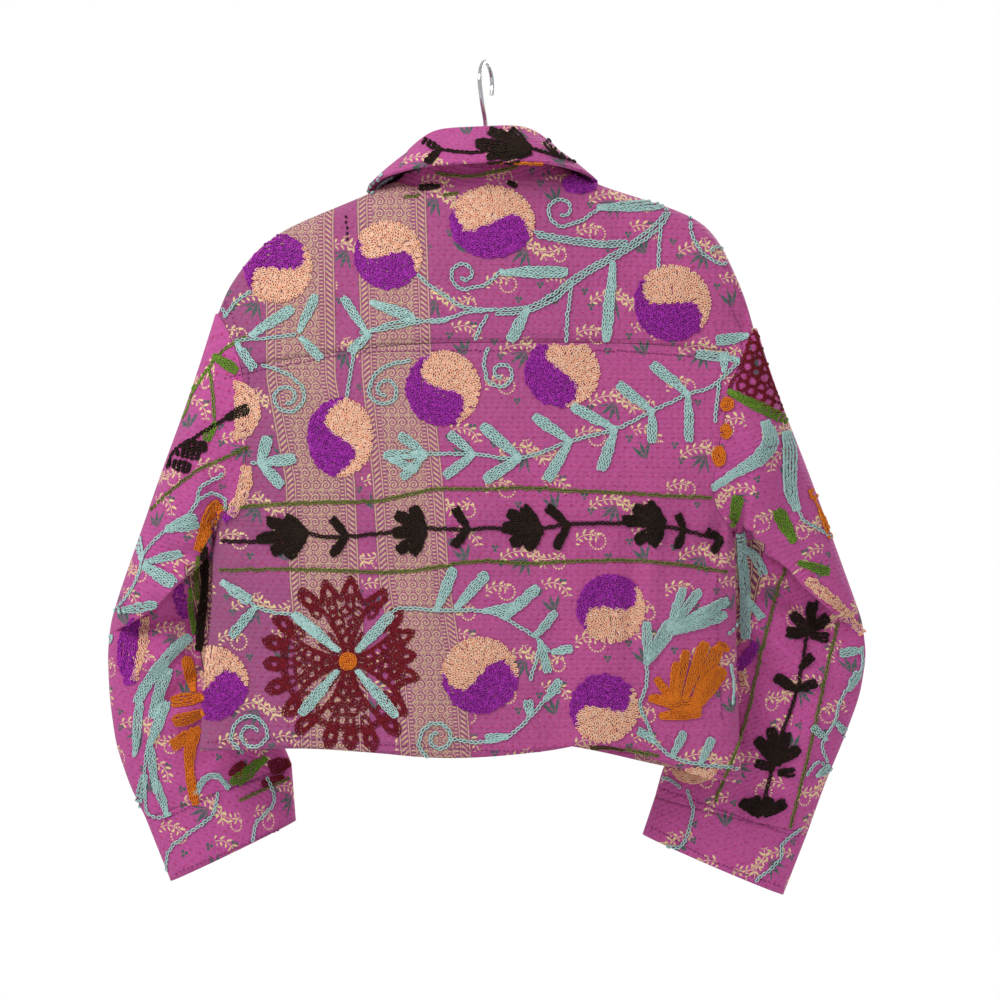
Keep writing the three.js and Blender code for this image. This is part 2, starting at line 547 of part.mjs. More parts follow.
function collarSheet() {
  const seam = neckSeam();
  const middles = seam.map((entry) => mixPoints(entry.outer, entry.inner, 0.5));
  const walked = [0];
  for (let i = 1; i < middles.length; i += 1) walked.push(walked[i - 1] + middles[i].distanceTo(middles[i - 1]));
  const total = walked[walked.length - 1];
  const rollAt = [1, 2, 3].map((column) => curveThrough(COLLAR_ROLL, column));
  const edgeAt = [1, 2, 3].map((column) => curveThrough(COLLAR_EDGE, column));
  const place = (curves, share, sign) => {
    const x = sign * curves[0](share) + COLLAR_SHIFT * (1 - share);
    return asSeen(x, curves[1](share), curves[2](share) - COLLAR_TILT * x * (1 - share));
  };

  const columns = seam.map((entry, i) => {
    const signed = 1 - (2 * walked[i]) / total; // 1 at the left front, 0 at the back, -1 at the right front
    const share = Math.abs(signed);
    const sign = signed >= 0 ? 1 : -1;
    const roll = place(rollAt, share, sign);
    const edge = place(edgeAt, share, sign);
    const before = middles[Math.max(0, i - 1)];
    const after = middles[Math.min(middles.length - 1, i + 1)];
    const wall = entry.outer.clone().sub(entry.inner);
    const leaving = after.clone().sub(before).cross(wall).normalize();
    if (leaving.dot(point(-middles[i].x, -middles[i].y, 60)) < 0) leaving.negate();
    const outward = point(edge.x - roll.x, edge.y - roll.y, 0).normalize();
    const start = middles[i].clone().addScaledVector(leaving, SEAM_GAP + 0.15);
    const foldMiddle = roll.clone().add(point(0, 0, -FOLD_R));
    const standTop = foldMiddle.clone().addScaledVector(outward, -FOLD_R);
    const fallTop = foldMiddle.clone().addScaledVector(outward, FOLD_R);
    const rise = standTop.clone().sub(start);
    const reach = Math.min(14, rise.length() * 0.4);
    const leave = leaving.clone().multiplyScalar(reach);
    const arrive = point(0, 0, reach);

    const stand = [0, 0.18, 0.4, 0.7].map((s) => {
      const base = mixPoints(start, standTop, smooth(s));
      const at = base
        .addScaledVector(rise, s - smooth(s) - (s * (1 - s) * (1 - s) - s * s * (1 - s)))
        .addScaledVector(leave, s * (1 - s) * (1 - s) * 1.6)
        .addScaledVector(arrive, -s * s * (1 - s) * 1.6);
      return { at };
    });
    const onFold = (angle) => {
      const away = outward.clone().multiplyScalar(Math.sin(angle)).add(point(0, 0, Math.cos(angle)));
      return { at: foldMiddle.clone().addScaledVector(away, FOLD_R), normal: away };
    };
    const cut = (SEAM_GAP / 2 + 0.02) / FOLD_R;
    const fall = [0.25, 0.5, 0.75, 1].map((s) => ({
      at: mixPoints(fallTop, edge, s).addScaledVector(outward, 3 * Math.sin(Math.PI * s)),
    }));
    const quarter = Math.PI / 2;
    const fold = [-quarter, -0.8, -cut, cut, 0.8, quarter].map(onFold);
    return {
      points: [...stand, ...fold, ...fall],
      baseOuter: entry.outer.clone().addScaledVector(leaving, SEAM_GAP + 0.15),
      baseInner: entry.inner.clone().addScaledVector(leaving, SEAM_GAP + 0.15),
    };
  });

  const rows = columns[0].points.length;
  const grid = Array.from({ length: rows }, (_, r) => columns.map((column) => column.points[r]));
  const outer = [];
  const inner = [];
  for (let r = 0; r < rows; r += 1) {
    const offsets = grid[r].map(({ normal }, c) => {
      const across = grid[r][Math.min(columns.length - 1, c + 1)].at.clone().sub(grid[r][Math.max(0, c - 1)].at);
      const up = grid[Math.min(rows - 1, r + 1)][c].at.clone().sub(grid[Math.max(0, r - 1)][c].at);
      const offset = across.cross(up).normalize();
      if (normal) offset.copy(normal.clone().multiplyScalar(offset.dot(normal) < 0 ? -1 : 1));
      return offset.multiplyScalar(COLLAR_CLOTH / 2);
    });
    outer.push(grid[r].map((p, c) => p.at.clone().sub(offsets[c])));
    inner.push(grid[r].map((p, c) => p.at.clone().add(offsets[c])));
  }
  // At the seam the sheet has the panels' own edge, moved off it by the gap.
  const behind = (columns.length - 1) / 2;
  const matches = outer[1][behind].y > inner[1][behind].y;
  outer[0] = columns.map((column) => (matches ? column.baseOuter : column.baseInner));
  inner[0] = columns.map((column) => (matches ? column.baseInner : column.baseOuter));
  // The two front ends stand side by side and don't cross.
  for (const row of [...outer, ...inner]) {
    row[0].x = Math.max(2 * SEAM_GAP, row[0].x);
    row[row.length - 1].x = Math.min(-2 * SEAM_GAP, row[row.length - 1].x);
  }
  return { outer, inner };
}
const collar = collarSheet();
const STAND_ROWS = 7; // the sheet's rows below the cut at the top of the roll
addPiece("collar_stand", wallSolid(collar.outer.slice(0, STAND_ROWS), collar.inner.slice(0, STAND_ROWS)), "collar");
addPiece("collar_fall", wallSolid(collar.outer.slice(STAND_ROWS), collar.inner.slice(STAND_ROWS)), "collar");

// Button band: a strip down the centre front, made from the fronts' points moved out.

// v at which the front face at u reaches height z.
function frontRowAt(u, z) {
  let [low, high] = [0, 3];
  for (let i = 0; i < 40; i += 1) {
    const half = (low + high) / 2;
    if (frontFace(u, half).z > z) low = half;
    else high = half;
  }
  return low;
}

function placketPoint(x, z, out) {
  const u = x / SHOULDER_X;
  const p = frontFace(u, frontRowAt(u, z));
  return point(x, p.y - out, z);
}

function placket() {
  const rows = 14;
  const columns = [-1, -0.5, 0, 0.5, 1];
  const bottom = (x) => frontHemZ(x / SHOULDER_X) + 0.6;
  const layer = (out) => Array.from({ length: rows + 1 }, (_, r) => columns.map((c) => {
    const x = c * PLACKET_HALF;
    return placketPoint(x, mix(PLACKET_TOP_Z, bottom(x), r / rows), out);
  }));
  return wallSolid(layer(SEAM_GAP + 0.1 + CLOTH), layer(SEAM_GAP + 0.1));
}
addPiece("button_band", placket(), "placket");

// Buttons: round, dished, with four holes, down the middle of the band.
function buttonGeometry() {
  const shape = new THREE.Shape();
  shape.absarc(0, 0, BUTTON_R - 0.5, 0, Math.PI * 2, false);
  for (let i = 0; i < 4; i += 1) {
    const angle = Math.PI / 4 + (i * Math.PI) / 2;
    const hole = new THREE.Path();
    hole.absarc(2.4 * Math.cos(angle), 2.4 * Math.sin(angle), 1, 0, Math.PI * 2, true);
    shape.holes.push(hole);
  }
  const geometry = new THREE.ExtrudeGeometry(shape, {
    depth: BUTTON_THICK - 1,
    bevelEnabled: true,
    bevelSize: 0.5,
    bevelThickness: 0.5,
    bevelSegments: 1,
    curveSegments: 6,
  });
  geometry.translate(0, 0, 0.5);
  geometry.rotateX(Math.PI / 2);
  return geometry;
}
for (let i = 0; i < BUTTON_COUNT; i += 1) {
  const z = mix(-214, -628, i / (BUTTON_COUNT - 1));
  const seat = placketPoint(0, z, SEAM_GAP + 0.1 + CLOTH + SEAM_GAP + 0.25);
  const geometry = buttonGeometry();
  geometry.translate(seat.x, seat.y, seat.z);
  addPiece(`button_${i + 1}`, geometry, "button");
}

// Hanger: a curved wooden bar under the shoulders, with a wire hook.
function hangerTop(x) {
  const side = sideOf(x);
  const size = Math.max(NECK_X, Math.abs(x));
  const slope = (shoulderZ[side](size + 5) - shoulderZ[side](size)) / 5;
  const onShoulder = shoulderZ[side](size) - (CLOTH + SEAM_GAP + 1) * Math.hypot(1, slope);
  return mix(HANGER_CROWN_Z, onShoulder, smooth(Math.abs(x) / (NECK_X - 20)));
}

function hangerBar() {
  const steps = 22;
  const sectionCount = 10;
  const rings = [];
  for (let i = 0; i <= steps; i += 1) {
    const x = mix(-HANGER_REACH.right, HANGER_REACH.left, i / steps);
    const top = hangerTop(x);
    const reach = x >= 0 ? HANGER_REACH.left : HANGER_REACH.right;
    const endTaper = Math.sqrt(Math.max(0.12, 1 - (Math.abs(x) / reach) ** 12));
    const high = (HANGER_HEIGHT / 2) * endTaper;
    rings.push(Array.from({ length: sectionCount }, (_, k) => {
      const angle = (2 * Math.PI * k) / sectionCount + Math.PI / 2;
      return point(x, HANGER_HALF_THICK * endTaper * Math.cos(angle), top - high + high * Math.sin(angle));
    }));
  }
  const points = rings.flat();
  const faces = [];
  const at = (r, k) => r * sectionCount + (k % sectionCount);
  for (let r = 0; r < steps; r += 1) {
    for (let k = 0; k < sectionCount; k += 1) {
      faces.push(at(r, k), at(r + 1, k), at(r + 1, k + 1), at(r, k), at(r + 1, k + 1), at(r, k + 1));
    }
  }
  for (let k = 1; k < sectionCount - 1; k += 1) {
    faces.push(at(0, 0), at(0, k), at(0, k + 1), at(steps, 0), at(steps, k + 1), at(steps, k));
  }
  return solidFrom(points, faces);
}
addPiece("hanger_bar", hangerBar(), "wood");

// The hook is a question mark of wire. Its plane stands almost edge on to the back.
function hookWire() {
  const planeAngle = THREE.MathUtils.degToRad(73);
  const inPlane = point(Math.cos(planeAngle), Math.sin(planeAngle), 0);
  const centreZ = -(HOOK_R - WIRE_R);
  const at = (along, z) => point(inPlane.x * along, inPlane.y * along, z);
  const stemFoot = HANGER_CROWN_Z + SEAM_GAP + 0.2;
  const points = [at(0, stemFoot), at(0, -84), at(0, -68), at(3, -54), at(11, -41)];
  for (let degrees = -30; degrees <= 205; degrees += 23.5) {
    const angle = THREE.MathUtils.degToRad(degrees);
    points.push(at(HOOK_R * Math.cos(angle), centreZ + HOOK_R * Math.sin(angle)));
  }
  const section = new THREE.Shape();
  section.absarc(0, 0, WIRE_R, 0, Math.PI * 2, false);
  return new THREE.ExtrudeGeometry(section, {
    steps: 36,
    curveSegments: 4,
    bevelEnabled: false,
    extrudePath: new THREE.CatmullRomCurve3(points),
  });
}
addPiece("hanger_hook", hookWire(), "wire");

export default jacket;
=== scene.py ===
# A cropped jacket cut from an old bedcover: two layers of printed pink cotton held by rows of small running
# stitches, with chain-stitch embroidery over them. It hangs from a hanger, and the photo shows its back.
import math

import bmesh
import bpy
import numpy as np
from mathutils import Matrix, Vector
from mathutils.bvhtree import BVHTree


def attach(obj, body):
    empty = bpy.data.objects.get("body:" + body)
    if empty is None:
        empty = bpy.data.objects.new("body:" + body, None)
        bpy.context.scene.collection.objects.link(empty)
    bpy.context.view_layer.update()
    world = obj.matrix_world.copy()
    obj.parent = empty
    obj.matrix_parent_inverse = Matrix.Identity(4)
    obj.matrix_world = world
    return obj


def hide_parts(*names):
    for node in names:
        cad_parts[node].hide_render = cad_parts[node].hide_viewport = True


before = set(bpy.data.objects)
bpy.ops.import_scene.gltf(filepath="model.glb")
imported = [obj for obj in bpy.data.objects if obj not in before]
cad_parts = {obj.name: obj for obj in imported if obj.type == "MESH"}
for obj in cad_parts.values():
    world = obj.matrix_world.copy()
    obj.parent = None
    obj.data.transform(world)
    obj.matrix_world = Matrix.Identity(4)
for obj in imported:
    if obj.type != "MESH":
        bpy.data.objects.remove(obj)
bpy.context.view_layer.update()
scene = bpy.context.scene

# The back, in two pieces of quilted cloth joined by a cross seam. It hangs from the shoulder seams, with soft
# troughs and ridges where the sleeves pull at the underarms and where the cloth falls free above the hem.
# Lengths are in millimetres, as the solids were drawn. Blender's own are in metres.
MM = 1000
CUT_EDGE = 1.05  # radians: a solid's edge that is sharper than this is a cut edge of the cloth and stays


def smooth(share):
    share = np.clip(share, 0, 1)
    return share * share * (3 - 2 * share)


def worn(node, rounds=2):
    """A copy of the cut piece as soft cloth, with its edges kept and its facets rounded."""
    shape = bmesh.new()
    shape.from_mesh(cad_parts[node].data)
    bmesh.ops.remove_doubles(shape, verts=shape.verts, dist=1e-5)
    bmesh.ops.join_triangles(shape, faces=shape.faces, angle_face_threshold=0.7, angle_shape_threshold=1.2)
    kept = shape.edges.layers.float.new("crease_edge")
    for edge in shape.edges:
        if len(edge.link_faces) == 2 and edge.calc_face_angle() > CUT_EDGE:
            edge[kept] = 1.0
    mesh = bpy.data.meshes.new(node + "_cloth")
    shape.to_mesh(mesh)
    shape.free()
    piece = bpy.data.objects.new(node + "_cloth", mesh)
    scene.collection.objects.link(piece)
    bpy.ops.object.select_all(action="DESELECT")
    bpy.context.view_layer.objects.active = piece
    piece.select_set(True)
    rounding = piece.modifiers.new("rounding", "SUBSURF")
    rounding.levels = rounds
    bpy.ops.object.modifier_apply(modifier="rounding")
    bpy.ops.object.shade_smooth_by_angle(angle=0.9)
    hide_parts(node)
    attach(piece, "root")
    return piece


def points_of(piece):
    points = np.empty(len(piece.data.vertices) * 3)
    piece.data.vertices.foreach_get("co", points)
    return points.reshape(-1, 3) * MM


def put_points(piece, points):
    piece.data.vertices.foreach_set("co", (points / MM).ravel())
    piece.data.update()


def folds(x, z, table):
    """Soft troughs and ridges, each along a line and dying out at its ends."""
    depth = np.zeros_like(x)
    for x1, z1, x2, z2, half, out in table:
        length = math.hypot(x2 - x1, z2 - z1)
        along = ((x - x1) * (x2 - x1) + (z - z1) * (z2 - z1)) / length
        across = ((x - x1) * (z2 - z1) - (z - z1) * (x2 - x1)) / length
        end = half * 1.6
        taper = smooth((along + end) / (2 * end)) * smooth((length + end - along) / (2 * end))
        depth += out * taper * np.exp(-((across / half) ** 2))
    return depth


def cloth_map(piece, u, v):
    """Lays the printed cloth on the piece. The map counts metres of cloth."""
    corners = np.empty(len(piece.data.loops), int)
    piece.data.loops.foreach_get("vertex_index", corners)
    u, v = u[corners] / MM, v[corners] / MM
    layer = piece.data.uv_layers.new(name="cloth")
    layer.data.foreach_set("uv", np.column_stack([u, v]).ravel())


# The sides of the body by height. Columns: z, how far out on the wearer's left, and on the right.
SIDE = [
    (-690, 273, 243), (-585, 267, 238), (-475, 258, 237), (-439, 256, 234), (-412, 234, 213),
    (-370, 224, 216), (-299, 227, 233), (-258, 241, 250), (-236, 254, 254),
]
# The shoulder and neck seams, whose neck is lower in front. Columns: x, z.
RIGHT_SHOULDER = [(-254, -250), (-235, -196), (-202, -148), (-118, -119)]
LEFT_SHOULDER = [(88, -114), (147, -138), (193, -158), (233, -196), (254, -236)]
TOP_BACK = RIGHT_SHOULDER + [(-88, -108), (0, -119)] + LEFT_SHOULDER
TOP_FRONT = RIGHT_SHOULDER + [(-88, -110), (-60, -150), (-20, -178), (20, -178), (60, -150)] + LEFT_SHOULDER
# Soft folds. Columns: x and z of one end, x and z of the other, half width, depth outwards.
BACK_FOLDS = [
    (-238, -420, -190, -476, 8, -4.5), (-240, -446, -202, -528, 9, 4), (-226, -398, -214, -486, 8, -3),
    (-160, -400, -150, -560, 11, 4), (-139, -420, -136, -580, 9, -3.5), (-178, -500, -176, -640, 12, 3),
    (238, -424, 194, -472, 8, -4), (244, -452, 212, -536, 9, 3.5), (216, -508, 222, -640, 13, -3),
    (62, -480, 68, -644, 16, 3), (112, -500, 118, -640, 13, -3), (-62, -520, -64, -640, 13, -3),
    (-16, -300, 12, -470, 22, 2), (150, -330, 124, -480, 16, -2), (-100, -140, -134, -262, 13, 2.5),
    (112, -150, 146, -272, 13, -2.5), (40, -150, 56, -260, 15, 2), (-20, -560, 10, -650, 18, -2.5),
]
FRONT_FOLDS = [
    (-236, -424, -186, -484, 8, -4), (-238, -452, -196, -540, 9, 3.5), (-150, -380, -142, -560, 12, 3),
    (-110, -440, -104, -650, 13, -3), (-60, -300, -52, -480, 16, 2.5), (-196, -540, -194, -660, 13, 3),
    (238, -420, 190, -480, 8, -4), (242, -450, 204, -530, 9, 3.5), (160, -400, 150, -580, 12, -3),
    (104, -420, 98, -640, 14, 3), (56, -320, 60, -520, 16, -2.5), (206, -540, 202, -640, 13, 3),
    (-120, -160, -140, -280, 13, 2.5), (122, -170, 144, -290, 13, -2.5),
]


# The folds come in over these distances from a side seam, from a top seam and from the fronts' edges.
OFF_SIDE, OFF_TOP, OFF_BAND = 16, 26, 16
SEAM_GAP = 0.3  # how far apart the solids of two sewn pieces stand


def hang(piece, table, top, way):
    """Folds a piece of the body, less towards its seams. Its way outwards is 1 behind, -1 in front."""
    points = points_of(piece)
    x, z = points[:, 0], points[:, 2]
    heights, left, right = np.array(SIDE).T
    off_side = np.where(x > 0, np.interp(z, heights, left) - x, np.interp(z, heights, right) + x)
    off_top = np.interp(x, *np.array(top).T) - z
    held = smooth(off_side / OFF_SIDE) * smooth((off_top - 4) / OFF_TOP)
    if way < 0:
        held = held * smooth((np.abs(x) - 18) / OFF_BAND)
    # The cut edges along the side seams stand half a gap off the middle. Sewn, they close up.
    seam_edge = np.abs(points[:, 1]) < SEAM_GAP * 2 / 3
    points[:, 1] += way * held * folds(x, z, table)
    points[seam_edge, 1] -= way * 0.2
    put_points(piece, points)
    return points


def bands(piece, first, second, share=1.0):
    """How far each point is from the middles of two woven borders, in metres, and the share that shows."""
    points = points_of(piece)
    x, z = points[:, 0], points[:, 2]
    off = [(x - np.interp(z, *np.array(rows, float).T)) / MM for rows in (first, second)]
    values = np.column_stack([*off, share * np.ones(len(x))])
    layer = piece.data.attributes.new("borders", "FLOAT_VECTOR", "POINT")
    layer.data.foreach_set("vector", values.ravel())


# The middles of the back's two borders. Columns: z, x.
BORDER_A = [(-660, 140), (-590, 143), (-490, 151), (-395, 155), (-300, 173), (-130, 177)]
BORDER_B = [(-660, 46), (-590, 51), (-490, 66.5), (-395, 73), (-300, 83), (-130, 89)]
back_cloth = []
for node in ("back_yoke", "back_panel"):
    piece = worn(node)
    points = hang(piece, BACK_FOLDS, TOP_BACK, 1)
    cloth_map(piece, points[:, 0], points[:, 2])
    bands(piece, BORDER_A, BORDER_B)
    back_cloth.append(piece)

# The two fronts, cut from the same cover and turned the other way up, so another part of the print shows.
front_cloth = []
for node, shift in (("front_left", 310), ("front_right", 730)):
    piece = worn(node)
    points = hang(piece, FRONT_FOLDS, TOP_FRONT, -1)
    cloth_map(piece, points[:, 0] + shift, 40 - points[:, 2])
    bands(piece, [(-660, 150), (-100, 132)], [(-660, -176), (-100, -150)])
    front_cloth.append(piece)

# The button band, a doubled strip sewn flat down the left front's edge and over the right one.
band_cloth = worn("button_band", 1)
points = points_of(band_cloth)
cloth_map(band_cloth, points[:, 2] + 900, points[:, 0])

# The collar, a stand that rises from the neck seam and a fall that rolls over it and lies on the shoulders.
collar_cloth = []
for node in ("collar_stand", "collar_fall"):
    piece = worn(node)
    points = points_of(piece)
    out = np.hypot(points[:, 0], points[:, 1])
    cloth_map(piece, 95 * np.arctan2(points[:, 0], points[:, 1] + 40), 0.8 * points[:, 2] - 0.6 * out)
    collar_cloth.append(piece)

# The sleeves, one panel each with its seam under the arm, and a cuff at the end of each. They hang forward
# and bend at the elbow, so the cloth folds over itself there in short creases that fan out from the bend.
EYE = np.array([-13.0, 2500.0, -414.0])  # where the photo was taken from
# Sections of the sleeve: outer x and z, inner x and z, middle y, half depth.
SLEEVES = {
    "left": [
        (272, -286, 259, -452, -4, 38), (310, -392, 261, -482, -28, 38), (346, -495, 256, -522, -46, 36),
        (360, -562, 231, -574, -57, 32), (352, -647, 200, -631, -61, 29), (324, -716, 184, -664, -66, 25),
        (300, -776, 180, -718, -70, 23),
    ],
    "right": [
        (269, -289, 239, -460, -4, 38), (306, -386, 238.5, -490, -28, 38), (344, -490, 234, -528, -46, 36),
        (362, -561, 215, -578, -57, 32), (341, -640, 181, -638, -61, 29), (306, -730, 160, -695, -66, 25),
        (283, -789, 148, -731, -70, 23),
    ],
}
# Where the upper arm's cloth hangs over the forearm's, from the body outwards. Columns: x and z.
LIPS = {
    "left": [(252, -434), (276, -465), (296, -494), (313, -512), (331, -524), (356, -541)],
    "right": [(238, -436), (253, -441), (272, -464), (289, -478), (300, -492), (327, -516), (358, -548)],
}
# The middle of the woven border where it comes down inside each elbow. Columns: z and x.
SLEEVE_BORDER = {
    "left": [(-655, -300), (-640, 228), (-600, 236), (-550, 244), (-475, 253), (-457, 100)],
    "right": [(-655, 300), (-640, -170), (-557, -208), (-542, -217), (-485, -232), (-452, -230), (-440, -60)],
}
SLEEVE_FOLDS = {
    "left": [
        (264, -470, 306, -462, 8, -6), (262, -492, 322, -500, 9, 6), (262, -512, 330, -534, 8, -7),
        (258, -534, 330, -574, 10, 7), (250, -560, 310, -612, 9, -6), (240, -592, 334, -640, 12, 5),
        (218, -620, 286, -680, 10, -3), (300, -340, 292, -430, 12, 3), (322, -420, 300, -470, 9, -3),
        (230, -650, 300, -690, 8, 2.5),
    ],
    "right": [
        (256, -440, 300, -462, 9, 5), (252, -462, 340, -518, 8, 6), (248, -482, 340, -546, 9, -8),
        (246, -520, 318, -590, 9, 5), (238, -548, 300, -620, 10, -5), (226, -590, 262, -668, 10, 4),
        (212, -610, 226, -700, 9, 3), (300, -340, 280, -440, 13, -3), (318, -600, 286, -700, 13, 3),
        (190, -640, 204, -700, 7, -2.5),
    ],
}


def lip(x, z, line):
    """The cloth above a line swells and hangs over the cloth below it. Gives the way outwards, x and z."""
    off, share, across = np.full(len(x), 1e9), np.zeros(len(x)), np.zeros((2, len(x)))
    for k, ((x1, z1), (x2, z2)) in enumerate(zip(line, line[1:])):
        length = math.hypot(x2 - x1, z2 - z1)
        along = np.clip(((x - x1) * (x2 - x1) + (z - z1) * (z2 - z1)) / length, 0, length)
        far = np.hypot(x - x1 - along * (x2 - x1) / length, z - z1 - along * (z2 - z1) / length)
        way = np.sign((x - x1) * (z2 - z1) - (z - z1) * (x2 - x1))
        nearer = far < np.abs(off)
        off = np.where(nearer, far * way, off)
        share = np.where(nearer, (k + along / length) / (len(line) - 1), share)
        across = np.where(nearer, np.array([[(z2 - z1) / length], [-(x2 - x1) / length]]), across)
    below = smooth((off + 2.5) / 5)
    swell = 9 * np.exp(np.minimum(off, 0) / 30)
    drop = 17 * np.exp(-np.maximum(off, 0) / 48)
    shape = swell * (1 - below) - drop * below
    hem = np.where(off < 0, (3 - off) * smooth((off + 9) / 5), (-3 - off) * smooth((9 - off) / 5))
    ends = smooth((1.02 - share) / 0.2) * smooth((share + 0.12) / 0.2)
    return shape * ends, *(across * hem * ends)


def round_sleeve(points, side):
    """Where each point lies on a sleeve: its x and z in the photo, the distance down it, the angle around
    it, and its place on the cloth laid flat."""
    sign = 1 if side == "left" else -1
    rows = np.array(SLEEVES[side], float)
    nearer = 1 - points[:, 1] / EYE[1]
    x = (EYE[0] + (points[:, 0] - EYE[0]) / nearer) * sign
    z = EYE[2] + (points[:, 2] - EYE[2]) / nearer
    turned = np.array([(r[0] - r[2]) * (z - r[3]) - (r[1] - r[3]) * (x - r[2]) for r in rows])
    step = np.clip((turned < 0).sum(0) - 1, 0, len(rows) - 2)
    order = np.arange(len(x))
    here, after = turned[step, order], turned[step + 1, order]
    share = np.clip(here / np.where(here == after, 1, here - after), -2, 3)
    row = rows[step] + (rows[step + 1] - rows[step]) * np.clip(share, 0, 1)[:, None]
    middles = (rows[:, 0:2] + rows[:, 2:4]) / 2
    gone = np.concatenate([[0], np.cumsum(np.hypot(*np.diff(middles, axis=0).T))])
    down = gone[step] + (gone[step + 1] - gone[step]) * share
    wide = np.hypot(row[:, 0] - row[:, 2], row[:, 1] - row[:, 3])
    across = (x - row[:, 2]) * (row[:, 0] - row[:, 2]) + (z - row[:, 3]) * (row[:, 1] - row[:, 3])
    over = 2 * across / wide**2 - 1
    angle = np.arctan2((points[:, 1] - row[:, 4]) / row[:, 5], over)
    # Each side laid flat: the way around the oval section from its middle, less what shows of it from behind.
    turn = np.abs(angle) - math.pi / 2
    steps = (np.arange(16) + 0.5)[:, None] / 16 * turn
    way = np.hypot(wide / 2 * np.cos(steps), row[:, 5] * np.sin(steps)).mean(0) * turn
    spare = way + over * wide / 2
    u = x + spare * (row[:, 2] - row[:, 0]) / wide
    v = z + spare * (row[:, 3] - row[:, 1]) / wide
    return x, z, down, angle, u, v


ALONG, ASLANT = 0.94, 0.34  # cosine and sine of the 20 degrees that the sleeves' cover lies turned
NO_BORDER = [(0, 900)]  # the second border lies off the sleeve
sleeve_cloth, cuff_cloth = [], []
for side, outwards, shift in (("left", 1, 1300), ("right", -1, 1900)):
    for kind, rounds, made in (("sleeve", 3, sleeve_cloth), ("cuff", 2, cuff_cloth)):
        piece = worn(f"{kind}_{side}", rounds)
        points = points_of(piece)
        x, z, down, angle, u, v = round_sleeve(points, side)
        if kind == "sleeve":
            held = smooth(down / 40) * smooth((down.max() - down) / 34)
            points[:, 1] += held * np.sin(angle) * folds(x, z, SLEEVE_FOLDS[side])
            behind = smooth(down / 20) * smooth(np.sin(angle) * 1.6)
            out, over_x, over_z = behind * np.array(lip(x, z, LIPS[side]))
            points[:, 1] += out
            points[:, 0] += outwards * over_x
            points[:, 2] += over_z
            # Inside the bend the cloth is pushed 8 mm towards the body.
            inside = smooth(-np.cos(angle) * 2) * smooth((z + 560) / 50) * smooth((-438 - z) / 24)
            points[:, 0] -= outwards * 8 * inside
            put_points(piece, points)
        cloth_map(piece, u * ALONG + v * ASLANT + shift, v * ALONG - u * ASLANT)
        bands(piece, SLEEVE_BORDER[side], NO_BORDER, 0.5 * smooth(np.sin(angle) * 5 + 0.5))
        made.append(piece)

# The cloth itself: a magenta cotton print with small red ticks, cream leafy sprigs, dotted rings and green
# leaves, and cream borders woven like lace. It has faded on the wearer's left, and the rows of running stitch
# pucker it.


def plug(at, value):
    """Gives a node's input a value, or the socket that works it out."""
    if isinstance(value, Thread):
        Thread.tree.links.new(value.socket, at)
    else:
        at.default_value = value


class Thread:
    """A socket of the material's nodes that can be reckoned with like a number."""

    tree = None

    def __init__(self, socket):
        self.socket = socket

    @classmethod
    def node(cls, kind, settings=None, out=0, **sockets):
        made = cls.tree.nodes.new(kind)
        for key, value in (settings or {}).items():
            setattr(made, key, value)
        for key, value in sockets.items():
            plug(made.inputs[int(key[1:])] if key[1:].isdigit() else made.inputs[key], value)
        return cls(made.outputs[out])

    def reckon(self, what, *others):
        return Thread.node(
            "ShaderNodeMath", {"operation": what}, **{f"i{n}": v for n, v in enumerate((self, *others))}
        )

    def __add__(self, other):
        return self.reckon("ADD", other)

    def __sub__(self, other):
        return self.reckon("SUBTRACT", other)

    def __mul__(self, other):
        return self.reckon("MULTIPLY", other)

    def __truediv__(self, other):
        return self.reckon("DIVIDE", other)

    def __rsub__(self, other):
        return Thread.node("ShaderNodeMath", {"operation": "SUBTRACT"}, i0=other, i1=self)

    __radd__ = __add__
    __rmul__ = __mul__

    def size(self):
        return self.reckon("ABSOLUTE")

    def part(self):
        return self.reckon("FRACT")

    def sine(self):
        return self.reckon("SINE")

    def under(self, edge, soft=0.15):
        """1 where the value is under the edge, 0 over it, with a soft step between."""
        return Thread.node(
            "ShaderNodeMapRange",
            {"interpolation_type": "SMOOTHSTEP"},
            i0=self, i1=edge - soft, i2=edge + soft, i3=1.0, i4=0.0,
        )

    def most(self, other):
        return self.reckon("MAXIMUM", other)

    def least(self, other):
        return self.reckon("MINIMUM", other)


def colour(red, green, blue):
    """A colour by its values from 0 to 255, as light."""
    parts = [c / 255 for c in (red, green, blue)]
    return (*[c / 12.92 if c < 0.04 else ((c + 0.055) / 1.055) ** 2.4 for c in parts], 1)


def blend(share, first, second):
    """A colour between two others."""
    return Thread.node("ShaderNodeMix", {"data_type": "RGBA"}, out=2, i0=share, i6=first, i7=second)


def new_material(name):
    made = bpy.data.materials.new(name)
    made.use_nodes = True
    Thread.tree = made.node_tree
    return made


def set_look(made, **inputs):
    """Sets the look of a material's surface."""
    for key, value in inputs.items():
        plug(made.node_tree.nodes["Principled BSDF"].inputs[key.replace("_", " ")], value)
    return made


def object_place():
    return Thread.node("ShaderNodeTexCoord", out=3)


def spots_of(scale, detail):
    """Fine spots, darker and lighter, all over a piece."""
    return Thread.node("ShaderNodeTexNoise", i0=object_place(), Scale=scale, Detail=detail)


cotton = new_material("quilted cotton")
laid = Thread.node("ShaderNodeUVMap", {"uv_map": "cloth"})
parts = Thread.node("ShaderNodeVectorMath", {"operation": "SCALE"}, i0=laid, i3=float(MM))
u = Thread.node("ShaderNodeSeparateXYZ", i0=parts)
v = Thread(u.socket.node.outputs[1])
place = object_place()
placed = Thread.node("ShaderNodeSeparateXYZ", i0=place)
wander = Thread.node("ShaderNodeTexNoise", i0=place, Scale=9.0, Detail=2.0)
u, v = u + (wander - 0.5) * 5, v + (wander - 0.5) * 4


